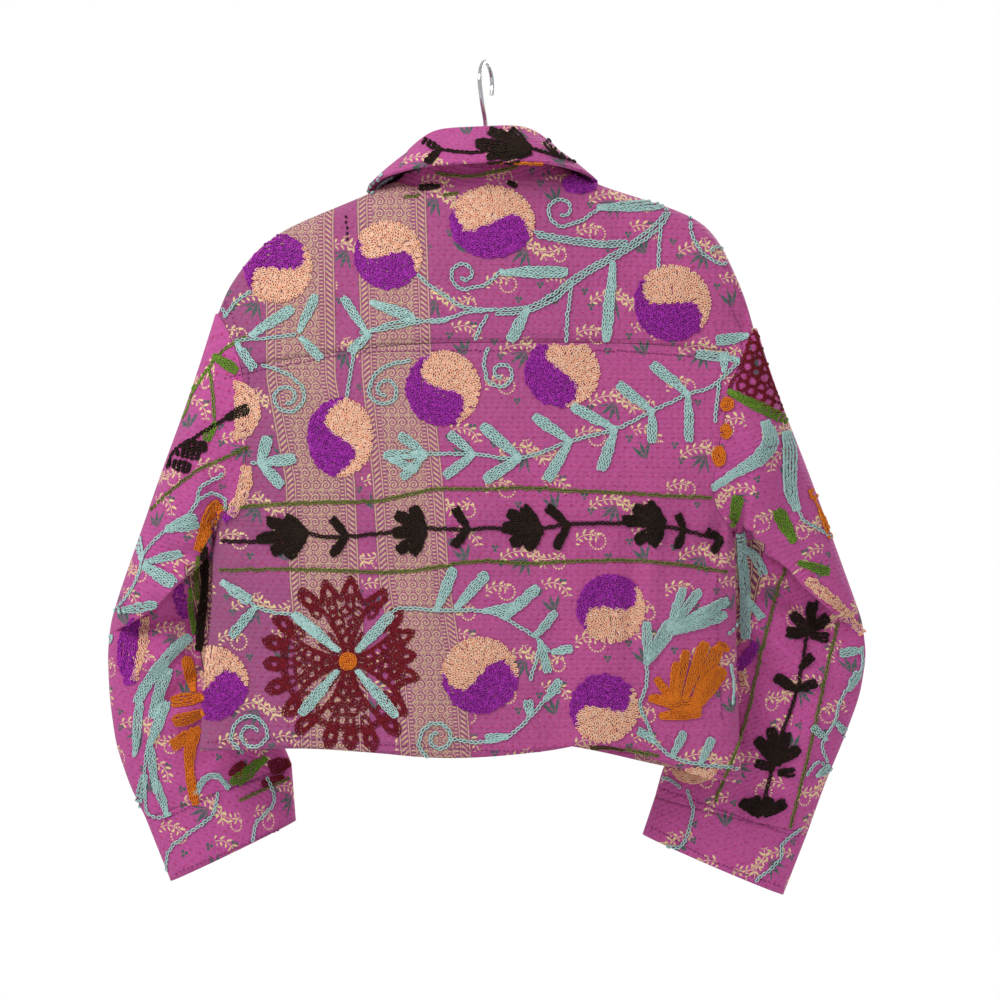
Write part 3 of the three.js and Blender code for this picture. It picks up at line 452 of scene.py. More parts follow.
def tile(at, length, start=0.0):
    """Distance from the middle of a repeat."""
    return ((at / length + start).part() - 0.5) * length


def turned(x, y):
    """Distance from a point and the angle around it."""
    far = (x * x + y * y).reckon("SQRT")
    return far, y.reckon("ARCTAN2", x)


def sprig(x, y, radius, start, end, step=0.25):
    """A bent stem with pairs of leaves, as an arc about a point. Angles are in radians."""
    far, angle = turned(x, y)
    off = far - radius
    along = ((angle / step).part() - 0.5) * (step * radius)
    side = off.size()
    leaf_x = along * 0.8 + (side - 3.1) * -0.6
    leaf_y = along * 0.6 + (side - 3.1) * 0.8
    leaf = (leaf_x * leaf_x * 1.1 + leaf_y * leaf_y * 0.17).under(1.0, 0.4)
    held = (angle - (start + end) / 2).size().under((end - start) / 2, 0.03)
    return leaf.most(side.under(0.35, 0.25)) * held


def dotted(x, y, radius, count):
    """A ring of dots."""
    far, angle = turned(x, y)
    across = ((angle * (count / (2 * math.pi))).part() - 0.5) * (2 * math.pi * radius / count)
    return (across * across + (far - radius) * (far - radius)).under(0.75, 0.4)


def feather(x, y, count, reach, middle, spread):
    """Narrow leaves that fan out from a point."""
    far, angle = turned(x, y)
    across = ((angle * (count / (2 * math.pi))).part() - 0.5).size() * far * (2 * math.pi / count)
    wide = (1 - (far / reach * 2 - 1.1).size()) * 2.1
    return (across - wide).under(0.0, 0.3) * (angle - middle).size().under(spread, 0.05)


def trefoil(x, y):
    """Three dots about a point."""
    far, angle = turned(x, y)
    over = (((angle + 0.5) * (3 / (2 * math.pi))).part() - 0.5) * (2 * math.pi / 3)
    off = far * over.reckon("COSINE") - 2.1
    across = far * over.sine()
    return (off * off + across * across).under(2.6, 0.7)


# The print repeats over this width and height, with every second column half a repeat lower.
ACROSS, DOWN = 84, 96
down_shift = ((u / ACROSS).reckon("FLOOR") * 0.5).part()
x = tile(u, ACROSS)
y = ((v / DOWN + down_shift).part() - 0.5) * DOWN
cream = sprig(x - 10, y + 6, 25, 0.7, 2.8)
cream = cream.most(sprig(x + 14, y - 30, 19, -2.4, -0.2, 0.32))
cream = cream.most(sprig(x + 20, y + 26, 15, 1.0, 3.0, 0.4))
cream = cream.most(sprig(x - 30, y + 30, 16, 0.4, 2.2, 0.38))
cream = cream.most(dotted(x - 22, y + 20, 7.5, 17)).most(dotted(x + 26, y - 8, 6, 14))
green = feather(x - 4, y - 14, 13, 19, -1.0, 0.75)
green = green.most(feather(x + 24, y + 40, 13, 18, 1.1, 0.7))
green = green.most(trefoil(x + 30, y + 10)).most(trefoil(x - 12, y + 34)).most(trefoil(x - 34, y - 22))
green = green.most(trefoil(x - 28, y - 8)).most(trefoil(x + 8, y + 20))

# The borders: rules at their edges, rows of small chevrons inside these, and curled stems in the middle. The
# last of the three values is the share that shows: 1 on the body, 0.5 on the sleeves, where the borders lie
# inside the elbows and their ground is painted darker as shade.
border = Thread.node("ShaderNodeAttribute", {"attribute_name": "borders"}, out=1)
off_a = Thread.node("ShaderNodeSeparateXYZ", i0=border)
off_b, shows = (Thread(off_a.socket.node.outputs[n]) for n in (1, 2))
woven, of_body = (shows * 2).least(1.0), (shows * 2 - 1).most(0.0)
off_a, off_b = off_a * MM, off_b * MM
HALF_BORDER = 34


def lace(off):
    """A border's pattern, by the distance from its middle."""
    far_off = off.size()
    rule = (far_off - 32).size().under(0.5, 0.35).most((far_off - 23.5).size().under(0.5, 0.35))
    slant = (v / 5 + far_off / 6).part()
    chevrons = (slant - 0.5).size().under(0.22, 0.1) * (far_off - 27.8).size().under(2.9, 0.3)
    picks = ((v / 3.4).part() - 0.5).size().under(0.2, 0.1) * (far_off - 20.4).size().under(1.6, 0.3)
    cell_x, cell_y = tile(off + v * 0.08, 9.4, 0.5), tile(v, 11.6)
    far, angle = turned(cell_x, cell_y)
    curled = ((far / 2.5 + angle / (2 * math.pi)).part() - 0.5).size().under(0.26, 0.1) * far.under(4.5, 0.4)
    across_x, across_y = tile(off + v * 0.08, 9.4, 0.0), tile(v, 11.6, 0.5)
    bud = ((across_x.size() + across_y.size() * 0.7) - 2.2).size().under(0.6, 0.35)
    barbs = ((cell_y / 2.1 + cell_x.size() / 2.4).part() - 0.5).size().under(0.2, 0.1)
    barbs = barbs * (1 - far.under(4.8, 0.4))
    return rule.most(chevrons).most(picks).most(curled.most(bud).most(barbs) * far_off.under(18.4, 0.3))


on_a, on_b = (off.size().under(HALF_BORDER, 0.5) for off in (off_a, off_b))
on_border = on_a.most(on_b) * woven
net = (lace(off_a) * on_a + lace(off_b) * on_b) * woven

# Red ticks, the weave, the fading, the running stitches and the painted shade of the puckered cloth.
tick_row = (v / 9).reckon("FLOOR")
ticks = (tile(u + tick_row * 5, 10).size().under(1.3, 0.5)) * (tile(v, 9).size().under(0.8, 0.4))
fading = Thread.node("ShaderNodeTexNoise", i0=place, Scale=7.0, Detail=4.0, Roughness=0.6)
fine = Thread.node("ShaderNodeTexNoise", i0=place, Scale=420.0, Detail=2.0)
worn_left = placed * 2.2 + fading * 0.9 - 0.25
ground = blend(of_body, colour(206, 88, 162), colour(200, 88, 154))
ground = blend(worn_left.least(1.0).most(0.0) * of_body, ground, colour(152, 88, 126))
ground = blend((fine - 0.3) * 0.7, ground, colour(128, 46, 102))
ground = blend(on_border * 0.55, ground, colour(140, 82, 112))
# Painted shade: the sleeves' borders, inside the elbows by the body, have their ground painted darker for the
# shadow there.
ground = blend(on_border * (1 - of_body) * 0.75, ground, colour(100, 36, 68))
ground = blend(ticks * 0.6, ground, colour(176, 26, 84))
ground = blend(green * (1 - on_border) * 0.95, ground, colour(58, 102, 90))
ground = blend(cream * (1 - on_border), ground, colour(242, 218, 158))
ground = blend(net * 0.82, ground, colour(226, 202, 152))
ROW, STITCH = 4.6, 7.5  # the running stitches' rows and lengths, each with its gap
row = (v / ROW).reckon("FLOOR")
in_row = (v / ROW).part()
stitch = ((u / STITCH + row * 0.37).part() - 0.5).size().under(0.3, 0.06)
thread = (in_row - 0.5).size().under(0.12, 0.06) * stitch
puff = ((in_row - 0.5).size() * 2).least(1.0)
pucker = Thread.node("ShaderNodeTexNoise", i0=place, Scale=55.0, Detail=2.0)
ribs = ((u + (pucker - 0.5) * 9) * (2 * math.pi / 6.2)).sine() * (1 - puff * 0.6)
ground = blend(thread * 0.3, ground, colour(214, 122, 178))
# Painted shade: the troughs along the stitch rows, in patches, and one half of each rib are painted darker,
# for the shade of the puckering.
ground = blend((1 - puff) * (pucker * 0.4) + (ribs * 0.05).most(0.0), ground, colour(120, 42, 92))
height = puff * 0.6 + thread * 0.25 + pucker * 2.6 + ribs * 0.2 + fine * 0.12 + net * 0.1
bump = Thread.node("ShaderNodeBump", Strength=0.8, Distance=0.0013, Height=height)
set_look(cotton, Base_Color=ground, Normal=bump, Roughness=0.86, Specular_IOR_Level=0.25, Sheen_Weight=0.12)
all_cloth = back_cloth + front_cloth + [band_cloth] + collar_cloth + sleeve_cloth + cuff_cloth
for piece in all_cloth:
    piece.data.materials.clear()
    piece.data.materials.append(cotton)

# The embroidery, chain stitch in thick cotton thread worked before the cover was cut, so motifs are cut off
# at the seams. Each stitch is a loop of two strands that lies on the cloth. Motifs are placed one by one, in
# the photo's pixels, and made by rule.
PIXEL = 0.95  # the cloth behind one pixel
APEX = (486, 64)  # the pixel of the origin
ROW_GAP = 3.0  # pixels between two lines of stitches in a filled shape
FILL = (4.4, 5.5, 3.2)  # a filling stitch: how far it is to the next, its length and its width
corner, faces = [], []
for piece in all_cloth:
    first = len(corner)
    corner += [tuple(p) for p in points_of(piece)]
    faces += [[first + i for i in face.vertices] for face in piece.data.polygons]
cloth_tree = BVHTree.FromPolygons(corner, faces)
sewn = {}  # by colour: side, place in the picture, direction, length and width of each stitch
worked_from = {"side": 1}  # 1 from behind, as the photo looks, and -1 from the front


def unit(way):
    return way / np.hypot(*way)


def circle(count):
    angle = np.linspace(0, 2 * math.pi, count)
    return np.column_stack([np.cos(angle), np.sin(angle)])


def bent(points):
    """A smooth line through a few points of the picture, in close steps."""
    points = np.array(points, float)
    if len(points) == 2:
        share = np.linspace(0, 1, 24)[:, None]
        return points[0] * (1 - share) + points[1] * share
    ends = np.vstack([2 * points[0] - points[1], points, 2 * points[-1] - points[-2]])
    line = []
    for p0, p1, p2, p3 in zip(ends, ends[1:], ends[2:], ends[3:]):
        for t in np.linspace(0, 1, 12, endpoint=False):
            line.append(
                0.5 * (2 * p1 + (p2 - p0) * t + (2 * p0 - 5 * p1 + 4 * p2 - p3) * t * t
                + (3 * p1 - p0 - 3 * p2 + p3) * t**3)
            )
    line.append(points[-1])
    return np.array(line)


def chain(hue, line, pitch=4.7, long=5.6, wide=4.2):
    """Stitches along a line of the picture."""
    line = np.array(line, float)
    gone = np.concatenate([[0], np.cumsum(np.hypot(*np.diff(line, axis=0).T))]) * PIXEL
    count = max(1, round(gone[-1] / pitch))
    at = (np.arange(count) + 0.5) / count * gone[-1]
    for here, before, after in zip(at, at - 0.8, at + 0.8):
        p, a, b = [
            np.array([np.interp(g, gone, line[:, 0]), np.interp(g, gone, line[:, 1])])
            for g in (here, before, after)
        ]
        way = b - a
        if np.hypot(*way) > 0:
            sewn.setdefault(hue, []).append((worked_from["side"], *p, *unit(way), long, wide))


def disc(hues, cx, cy, radius, towards, tall=1.0, bend=1, edge=0, top=0):
    """A round motif in rings of stitches, its two colours parted by a bent line. A seam may cut it."""
    turn = math.radians(towards)
    ring = radius - 1.6
    while ring > 1.0:
        count = max(3, round(2 * math.pi * ring * max(1, 0.5 + tall / 2) / ROW_GAP))
        for k in range(count):
            angle = 2 * math.pi * (k + 0.5 * (int(ring) % 2)) / count
            px, py = ring * math.cos(angle), ring * math.sin(angle) * tall
            along = (px * math.cos(turn) - py * math.sin(turn)) / radius
            over = (px * math.sin(turn) + py * math.cos(turn)) / radius
            hue = hues[0] if along > 0.42 * bend * math.sin(math.pi * over) else hues[1]
            # The second colour is worked across the rings.
            way = angle if hue == hues[1] != hues[0] else angle + math.pi / 2
            if cx + px > edge and cy + py > top:
                sewn.setdefault(hue, []).append(
                    (worked_from["side"], cx + px, cy + py, math.cos(way), math.sin(way) * tall, 4.8, 3.4)
                )
        ring -= ROW_GAP / max(1, tall)


def leaf(hue, base, tip, wide):
    """A blunt leaf in side by side lines of stitches, narrow at its base."""
    base, tip = np.array(base, float), np.array(tip, float)
    way = tip - base
    over = np.array([-way[1], way[0]]) / np.hypot(*way)
    rows = max(2, round(wide / ROW_GAP))
    share = np.linspace(0, 1, 22)
    blunt = np.sqrt(1 - 0.75 * np.clip((share - 0.82) / 0.18, 0, 1) ** 2)
    body = np.minimum(1, 0.35 + 1.3 * share) * blunt
    for k in range(rows):
        off = ((k + 0.5) / rows - 0.5) * wide
        chain(hue, base + way * share[:, None] + over * (off * body)[:, None], *FILL)


def lines(table):
    for hue, courses in table.items():
        for points in courses:
            chain(hue, bent(points))


def leaves(hue, table):
    for base, tip, wide in table:
        leaf(hue, base, tip, wide)


def swath(hue, points, widths):
    """A bent shape in side by side lines of stitches, by its middle line and its width at each point."""
    line = bent(points)
    wide = np.interp(np.linspace(0, len(points) - 1, len(line)), range(len(points)), widths)
    way = np.gradient(line, axis=0)
    over = np.column_stack([-way[:, 1], way[:, 0]]) / np.hypot(*way.T)[:, None]
    rows = max(2, round(max(widths) / ROW_GAP))
    for k in range(rows):
        chain(hue, line + over * (((k + 0.5) / rows - 0.5) * wide)[:, None], *FILL)


def curl(hue, start, centre, turns, way=1):
    """A line that winds in towards a point."""
    start, centre = np.array(start, float), np.array(centre, float)
    reach = start - centre
    first, far = math.atan2(reach[1], reach[0]), np.hypot(*reach)
    t = np.linspace(0, 1, 40)
    angle = first + way * 2 * math.pi * turns * t
    chain(hue, centre + (far * (1 - 0.72 * t))[:, None] * np.column_stack([np.cos(angle), np.sin(angle)]))


# Round motifs. Columns: middle, radius, the way the first colour lies (degrees), height by width, way of the
# bend, and where a seam cuts the motif at its left and its top.
for cx, cy, radius, towards, tall, bend, edge, top in (
    (278, 268, 34, 135, 1, -1, 0, 0), (388, 255, 34, 235, 1, 1, 0, 0), (492, 222, 42, 245, 0.85, 1, 0, 0),
    (672, 303, 38, 225, 1, 1, 0, 0), (443, 388, 37, 200, 1, 1, 0, 0), (562, 372, 37, 180, 0.95, 1, 0, 345),
    (340, 437, 33, 185, 1.2, 1, 0, 0), (211, 683, 37, 260, 1, 1, 204, 0), (480, 675, 38, 265, 1, 1, 0, 0),
    (611, 608, 34, 135, 1, -1, 0, 0), (604, 708, 34, 130, 1, -1, 0, 0),
):
    disc(("purple", "peach"), cx, cy, radius, towards, tall, bend, edge, top)
disc(("peach", "peach"), 232, 410, 29, 0, 1.05, 1, 235)
swath("peach", [(247, 466), (245, 484), (237, 502), (231, 515)], [8, 14, 12, 6])
swath("purple", [(236, 508), (229, 515), (224, 520)], [7, 8, 4])
disc(("purple", "purple"), 580, 184, 18, 0, 0.5)
chain("dark", [(345, 214), (347, 228), (348, 242)], 5.5, 2.6, 0.8)
# Lines of a single colour, each through a few points.
lines({
    "mint": [
        [(235, 341), (268, 338), (296, 334)], [(251, 291), (236, 302), (225, 318)], [(221, 304), (226, 316)],
        [(367, 333), (384, 325), (400, 322), (420, 319)], [(360, 333), (390, 328), (420, 322), (450, 318)],
        [(370, 334), (358, 345), (352, 366), (347, 397)], [(411, 360), (392, 364), (376, 374), (369, 388)],
        [(418, 274), (428, 284), (440, 292), (465, 307), (493, 310)],
        [(493, 310), (468, 312), (445, 320), (431, 322)], [(493, 310), (527, 307), (550, 296), (570, 280)],
        [(496, 314), (528, 311), (553, 300), (572, 284)], [(570, 280), (590, 267), (610, 256), (634, 241)],
        [(572, 284), (592, 271), (612, 260), (636, 245)], [(634, 241), (657, 223), (667, 208)],
        [(636, 245), (660, 227), (670, 212)], [(535, 232), (568, 238), (600, 242), (627, 241)],
        [(537, 236), (568, 242), (600, 246), (627, 245)], [(600, 208), (582, 220), (566, 226)],
        [(572, 282), (568, 312), (566, 342)], [(661, 223), (659, 246), (658, 268)],
        [(488, 315), (480, 328), (475, 340)], [(488, 347), (484, 362), (486, 376)],
        [(690, 216), (692, 236), (704, 254), (722, 264), (728, 256), (718, 247), (710, 251)],
        [(500, 272), (486, 284), (470, 288)], [(262, 365), (284, 372), (300, 384)],
        [(389, 459), (426, 454), (474, 454), (520, 458), (570, 441), (615, 429), (652, 411), (688, 394),
            (712, 386), (739, 362)],
        [(719, 382), (717, 402), (715, 422)], [(251, 463), (262, 463)],
        [(241, 593), (256, 606), (275, 612), (293, 614)],
        [(390, 614), (402, 608), (438, 610), (483, 611), (508, 620), (535, 636), (552, 652), (570, 650)],
        [(243, 752), (232, 740), (233, 728)], [(428, 757), (419, 746), (422, 732)],
        [(448, 738), (480, 742), (508, 736), (530, 716), (545, 700), (560, 690)],
        [(647, 664), (646, 684), (640, 704), (646, 722), (655, 742)],
        [(655, 742), (672, 756), (700, 764), (738, 768)], [(540, 640), (536, 660), (530, 680)],
    ],
    "olive": [
        [(222, 508), (280, 504), (329, 502), (374, 501), (406, 495), (436, 489), (478, 489), (527, 488),
            (565, 490), (610, 492), (660, 495), (712, 497)],
        [(219, 570), (274, 569), (334, 570), (379, 572), (416, 570), (478, 561), (527, 563), (610, 560),
            (668, 563), (728, 572)],
        [(590, 748), (624, 749), (659, 756)],
    ],
    "dark": [
        [(222, 541), (255, 541), (300, 532), (325, 537), (347, 536), (381, 533), (426, 529), (468, 529),
            (491, 528), (541, 528), (568, 524), (610, 523), (650, 524), (684, 530), (722, 540)],
    ],
})
# Curled ends. Columns: start, middle, turns, way.
for start, centre, turns, way in (
    ((300, 384), (287, 397), 1.4, 1), ((369, 388), (385, 390), 1.3, -1), ((486, 376), (501, 373), 1.2, -1),
    ((566, 226), (562, 210), 1.1, 1), ((470, 288), (464, 274), 1.2, 1), ((233, 728), (252, 734), 1.4, 1),
    ((422, 732), (438, 738), 1.2, 1),
):
    curl("mint", start, centre, turns, way)
# Leaves. Columns: base, tip, width.
for hue, table in {
    "mint": [
        ((250, 336), (293, 308), 11), ((299, 332), (316, 295), 10), ((301, 337), (321, 359), 10),
        ((236, 343), (254, 369), 10), ((367, 333), (343, 297), 9), ((370, 334), (350, 352), 10),
        ((371, 302), (414, 318), 11), ((500, 272), (567, 272), 12), ((597, 208), (664, 205), 11),
        ((613, 262), (606, 341), 11), ((528, 308), (510, 341), 12), ((748, 336), (716, 341), 11),
        ((739, 360), (696, 354), 10), ((724, 372), (724, 352), 8), ((389, 459), (417, 470), 8),
        ((426, 454), (400, 435), 10), ((426, 454), (402, 478), 10), ((426, 454), (384, 455), 10),
        ((474, 454), (449, 433), 10), ((474, 454), (445, 476), 10), ((520, 458), (482, 425), 11),
        ((520, 458), (485, 480), 11), ((570, 441), (534, 416), 11), ((570, 441), (547, 480), 11),
        ((615, 429), (572, 406), 11), ((615, 429), (601, 470), 11), ((652, 411), (618, 384), 11),
        ((652, 411), (652, 442), 10), ((688, 394), (652, 364), 11), ((688, 394), (689, 441), 10),
        ((260, 463), (268, 437), 12), ((260, 463), (295, 458), 11), ((260, 463), (282, 485), 11),
        ((222, 581), (250, 601), 11), ((256, 606), (232, 636), 10), ((293, 614), (318, 634), 9),
        ((436, 611), (454, 568), 11), ((456, 608), (487, 573), 11), ((503, 618), (538, 587), 11),
        ((483, 611), (520, 606), 9), ((535, 636), (556, 612), 9), ((339, 651), (294, 614), 11),
        ((357, 651), (392, 614), 11), ((338, 670), (301, 714), 11), ((357, 670), (397, 716), 11),
        ((545, 700), (560, 680), 9), ((508, 736), (486, 738), 9), ((530, 716), (528, 700), 9),
        ((647, 664), (647, 622), 10), ((649, 660), (672, 622), 15), ((668, 630), (683, 588), 9),
        ((672, 626), (700, 590), 10), ((672, 628), (728, 600), 11), ((674, 632), (726, 614), 11),
        ((672, 756), (684, 732), 9), ((700, 764), (712, 738), 9), ((655, 742), (638, 730), 8),
        ((552, 652), (572, 648), 8), ((540, 640), (548, 672), 9),
    ],
    "dark": [
        ((307, 531), (257, 539), 12), ((307, 531), (267, 521), 12), ((304, 530), (286, 517), 11),
        ((306, 534), (272, 552), 12), ((306, 534), (288, 557), 11), ((347, 536), (332, 518), 9),
        ((347, 536), (332, 555), 9), ((426, 529), (393, 533), 13), ((426, 529), (396, 514), 12),
        ((424, 527), (413, 507), 11), ((425, 532), (398, 551), 12), ((425, 532), (413, 554), 11),
        ((468, 529), (455, 508), 9), ((468, 529), (454, 546), 9), ((541, 528), (503, 528), 13),
        ((541, 528), (508, 513), 12), ((539, 526), (523, 507), 11), ((540, 531), (511, 543), 12),
        ((541, 531), (527, 549), 11), ((568, 524), (547, 507), 10), ((568, 524), (556, 548), 9),
        ((665, 522), (622, 520), 12), ((665, 522), (634, 507), 12), ((662, 521), (648, 503), 12),
        ((663, 526), (636, 541), 12), ((663, 526), (652, 545), 11), ((684, 530), (678, 514), 8),
        ((684, 530), (676, 548), 8), ((722, 540), (706, 530), 8), ((722, 540), (712, 552), 8),
    ],
    "orange": [
        ((649, 698), (700, 706), 15), ((660, 716), (700, 712), 12), ((690, 712), (722, 668), 17),
        ((694, 700), (719, 646), 13), ((684, 700), (705, 642), 12), ((676, 702), (686, 650), 9),
        ((672, 702), (676, 662), 8), ((672, 700), (656, 678), 8), ((729, 650), (716, 644), 8),
    ],
}.items():
    leaves(hue, table)
disc(("orange", "orange"), 348, 661, 9, 0)

# The large flower: four fans of open rings with lobed edges about a round middle. Each row is one fan's tips.
middle = np.array([348.0, 661.0])


def fan_width(far):
    """How much of a fan's angle it fills so far from the middle."""
    return 0.5 + 0.5 * (far / 82) ** 1.5


def in_fan(share, far):
    """A spot of the fan that is being worked, at a share of the way from its heart to its edge."""
    turn = heart + spread * share * fan_width(far)
    return middle + far * np.array([math.cos(turn), math.sin(turn)])


for lobes in (
    [(301, 589), (325, 581), (351, 577), (384, 589)],
    [(274, 618), (264, 640), (264, 664), (267, 690), (284, 714)],
    [(298, 733), (328, 747), (351, 749), (374, 750), (398, 735)],
    [(402, 610), (413, 632), (415, 655), (418, 678), (406, 714)],
):
    lobes = np.array(lobes, float)
    valleys = (lobes[1:] + lobes[:-1]) / 2 * 0.78 + middle * 0.22
    edge = [middle]
    for k, tip in enumerate(lobes):
        reach = tip - middle
        out = unit(reach)
        over = np.array([-out[1], out[0]])
        edge += [tip - over * 6 - reach * 0.12, tip, tip + over * 6 - reach * 0.12]
        if k < len(valleys):
            edge.append(valleys[k])
        chain("maroon", np.array([middle + reach * 0.1, middle + reach * 0.4]), 4, 5, 4.2)
        loop = circle(17) * (9, 4.6)
        loop = middle + reach * 0.83 + loop[:, :1] * out + loop[:, 1:] * over
        chain("maroon", loop, 3.8, 5, 4.4)
        chain("maroon", middle + (loop - middle) * 0.84, 3.8, 5, 4)
    edge.append(middle)
    first, last = (math.atan2(*(lobe - middle)[::-1]) for lobe in (lobes[0], lobes[-1]))
    while last < first - math.pi:
        last += 2 * math.pi
    while last > first + math.pi:
        last -= 2 * math.pi
    heart, spread = (first + last) / 2, (last - first) / 2
    edge[1:1] = [in_fan(-1.0, far) for far in (20, 40, 58)]
    edge[-1:-1] = [in_fan(1.0, far) for far in (58, 40, 20)]
    for shrink in (1.0, 0.95):
        chain("maroon", bent(middle + (np.array(edge) - middle) * shrink), 4, 5, 4.4)
    # The fan between its edges, filled with open rings.
    for ring in (20, 29, 38, 48):
        many = max(1, round(2 * abs(spread) * ring * fan_width(ring) / 10.5))
        for k in range(many):
            radius = 3.6 + (k * 7 + ring) % 3 * 0.7
            spot = in_fan((2 * k + 1) / many - 1, ring + (k * 5 + ring) % 3)
            chain("maroon", spot + radius * circle(15), 3.5, 4.6, 3.8)

# The collar's share of the embroidery: part of the dark row, and a few cut ends of other motifs.
for hue, points in (
    ("dark", [(440, 150), (470, 153), (500, 150), (530, 149), (557, 157), (580, 164)]),
    ("olive", [(436, 173), (468, 176), (493, 172), (518, 166)]), ("olive", [(404, 197), (420, 195)]),
    ("olive", [(443, 195), (458, 193)]), ("mint", [(367, 192), (374, 182), (384, 174)]),
    ("mint", [(372, 195), (380, 184), (392, 176)]), ("orange", [(493, 163), (518, 162), (543, 163)]),
    ("dark", [(388, 182), (402, 174), (418, 168)]),
):
    chain(hue, bent(points))
leaves("dark", [
    ((530, 149), (476, 144), 12), ((530, 148), (489, 131), 11), ((528, 147), (510, 130), 10),
    ((529, 151), (487, 159), 11), ((531, 152), (504, 161), 10), ((440, 150), (423, 140), 8),
    ((440, 150), (427, 163), 8), ((557, 157), (545, 141), 9), ((560, 157), (570, 150), 8),
    ((440, 186), (420, 188), 7), ((516, 186), (508, 182), 6),
])

# The sleeves' share, cut from other parts of the same cover and turned, so their rows run down the arm.
lines({
    "leaf": [[(246, 336), (224, 350), (206, 372), (190, 398)], [(209, 368), (213, 394), (214, 419)]],
    "dark": [[(246, 405), (224, 419), (200, 434), (176, 450), (168, 468)],
        [(818, 598), (806, 640), (797, 690), (778, 744), (764, 800), (760, 816)]],
    "olive": [[(249, 446), (224, 458), (198, 470), (172, 490), (150, 510)],
        [(786, 566), (777, 592), (762, 650), (742, 732), (715, 801)],
        [(838, 622), (822, 690), (811, 742), (790, 828)],
        [(240, 800), (262, 790), (290, 778)]],
    "mint": [[(225, 510), (225, 499), (212, 493), (197, 501), (190, 513), (169, 527), (145, 553), (139, 575),
            (126, 598), (114, 612)], [(197, 500), (202, 486), (224, 474)],
        [(149, 739), (145, 770), (147, 812)], [(740, 620), (734, 628), (727, 634)],
        [(797, 508), (804, 520), (817, 528), (832, 538)],
        [(730, 664), (733, 684), (732, 704)], [(862, 646), (860, 670), (842, 696), (834, 722)],
        [(834, 722), (822, 744), (827, 764), (817, 762), (806, 775)]],
    "orange": [[(808, 490), (818, 508), (828, 532)]],
})
for hue, table in {
    "leaf": [((213, 355), (237, 371), 11), ((196, 388), (176, 380), 9),
        ((190, 398), (178, 420), 10), ((216, 422), (206, 440), 9), ((733, 527), (738, 496), 12),
        ((794, 542), (777, 510), 14), ((798, 562), (829, 572), 10),
        ((728, 391), (788, 421), 11), ((266, 758), (232, 784), 13)],
    "dark": [((226, 418), (248, 408), 11), ((182, 446), (207, 446), 11), ((176, 452), (200, 456), 10),
        ((168, 462), (191, 468), 12),
        ((808, 634), (786, 632), 11), ((808, 632), (792, 614), 11), ((809, 630), (812, 602), 11),
        ((810, 632), (828, 616), 11), ((810, 636), (828, 638), 10), ((800, 668), (812, 656), 9),
        ((797, 690), (776, 676), 11), ((797, 690), (816, 682), 10), ((776, 765), (757, 738), 12),
        ((777, 764), (771, 728), 12), ((778, 765), (786, 732), 12), ((777, 762), (799, 748), 11),
        ((774, 770), (756, 762), 10), ((778, 772), (794, 772), 10), ((760, 815), (741, 801), 11),
        ((761, 813), (754, 797), 11), ((763, 813), (770, 798), 11), ((764, 815), (785, 802), 11)],
    "mint": [((166, 528), (196, 516), 9), ((166, 530), (198, 524), 9), ((142, 560), (138, 532), 8),
        ((145, 562), (182, 553), 10), ((144, 565), (174, 584), 14), ((118, 611), (157, 604), 10),
        ((112, 634), (108, 642), 8), ((168, 662), (152, 672), 9), ((135, 756), (140, 702), 10),
        ((150, 744), (167, 702), 11), ((156, 792), (150, 744), 9), ((137, 812), (145, 774), 9),
        ((168, 816), (156, 780), 9),
        ((862, 650), (840, 653), 10), ((848, 690), (858, 672), 9), ((836, 722), (850, 738), 9),
        ((826, 740), (812, 726), 8), ((816, 776), (830, 766), 8)],
    "orange": [((194, 692), (186, 657), 12), ((206, 696), (172, 702), 13), ((206, 712), (174, 722), 13),
        ((200, 728), (172, 746), 13), ((818, 508), (830, 538), 7)],
    "maroon": [((290, 762), (270, 768), 16), ((244, 762), (232, 776), 12), ((284, 776), (262, 784), 8)],
}.items():
    leaves(hue, table)
disc(("peach", "peach"), 694, 764, 24, 0, 0.8, 1, 0, 769)
for px, py, radius, tall in ((727, 404, 7, 1), (726, 431, 6, 1.4), (719, 456, 7, 1.6), (813, 494, 5, 1.2)):
    disc(("orange", "orange"), px, py, radius, 0, tall)
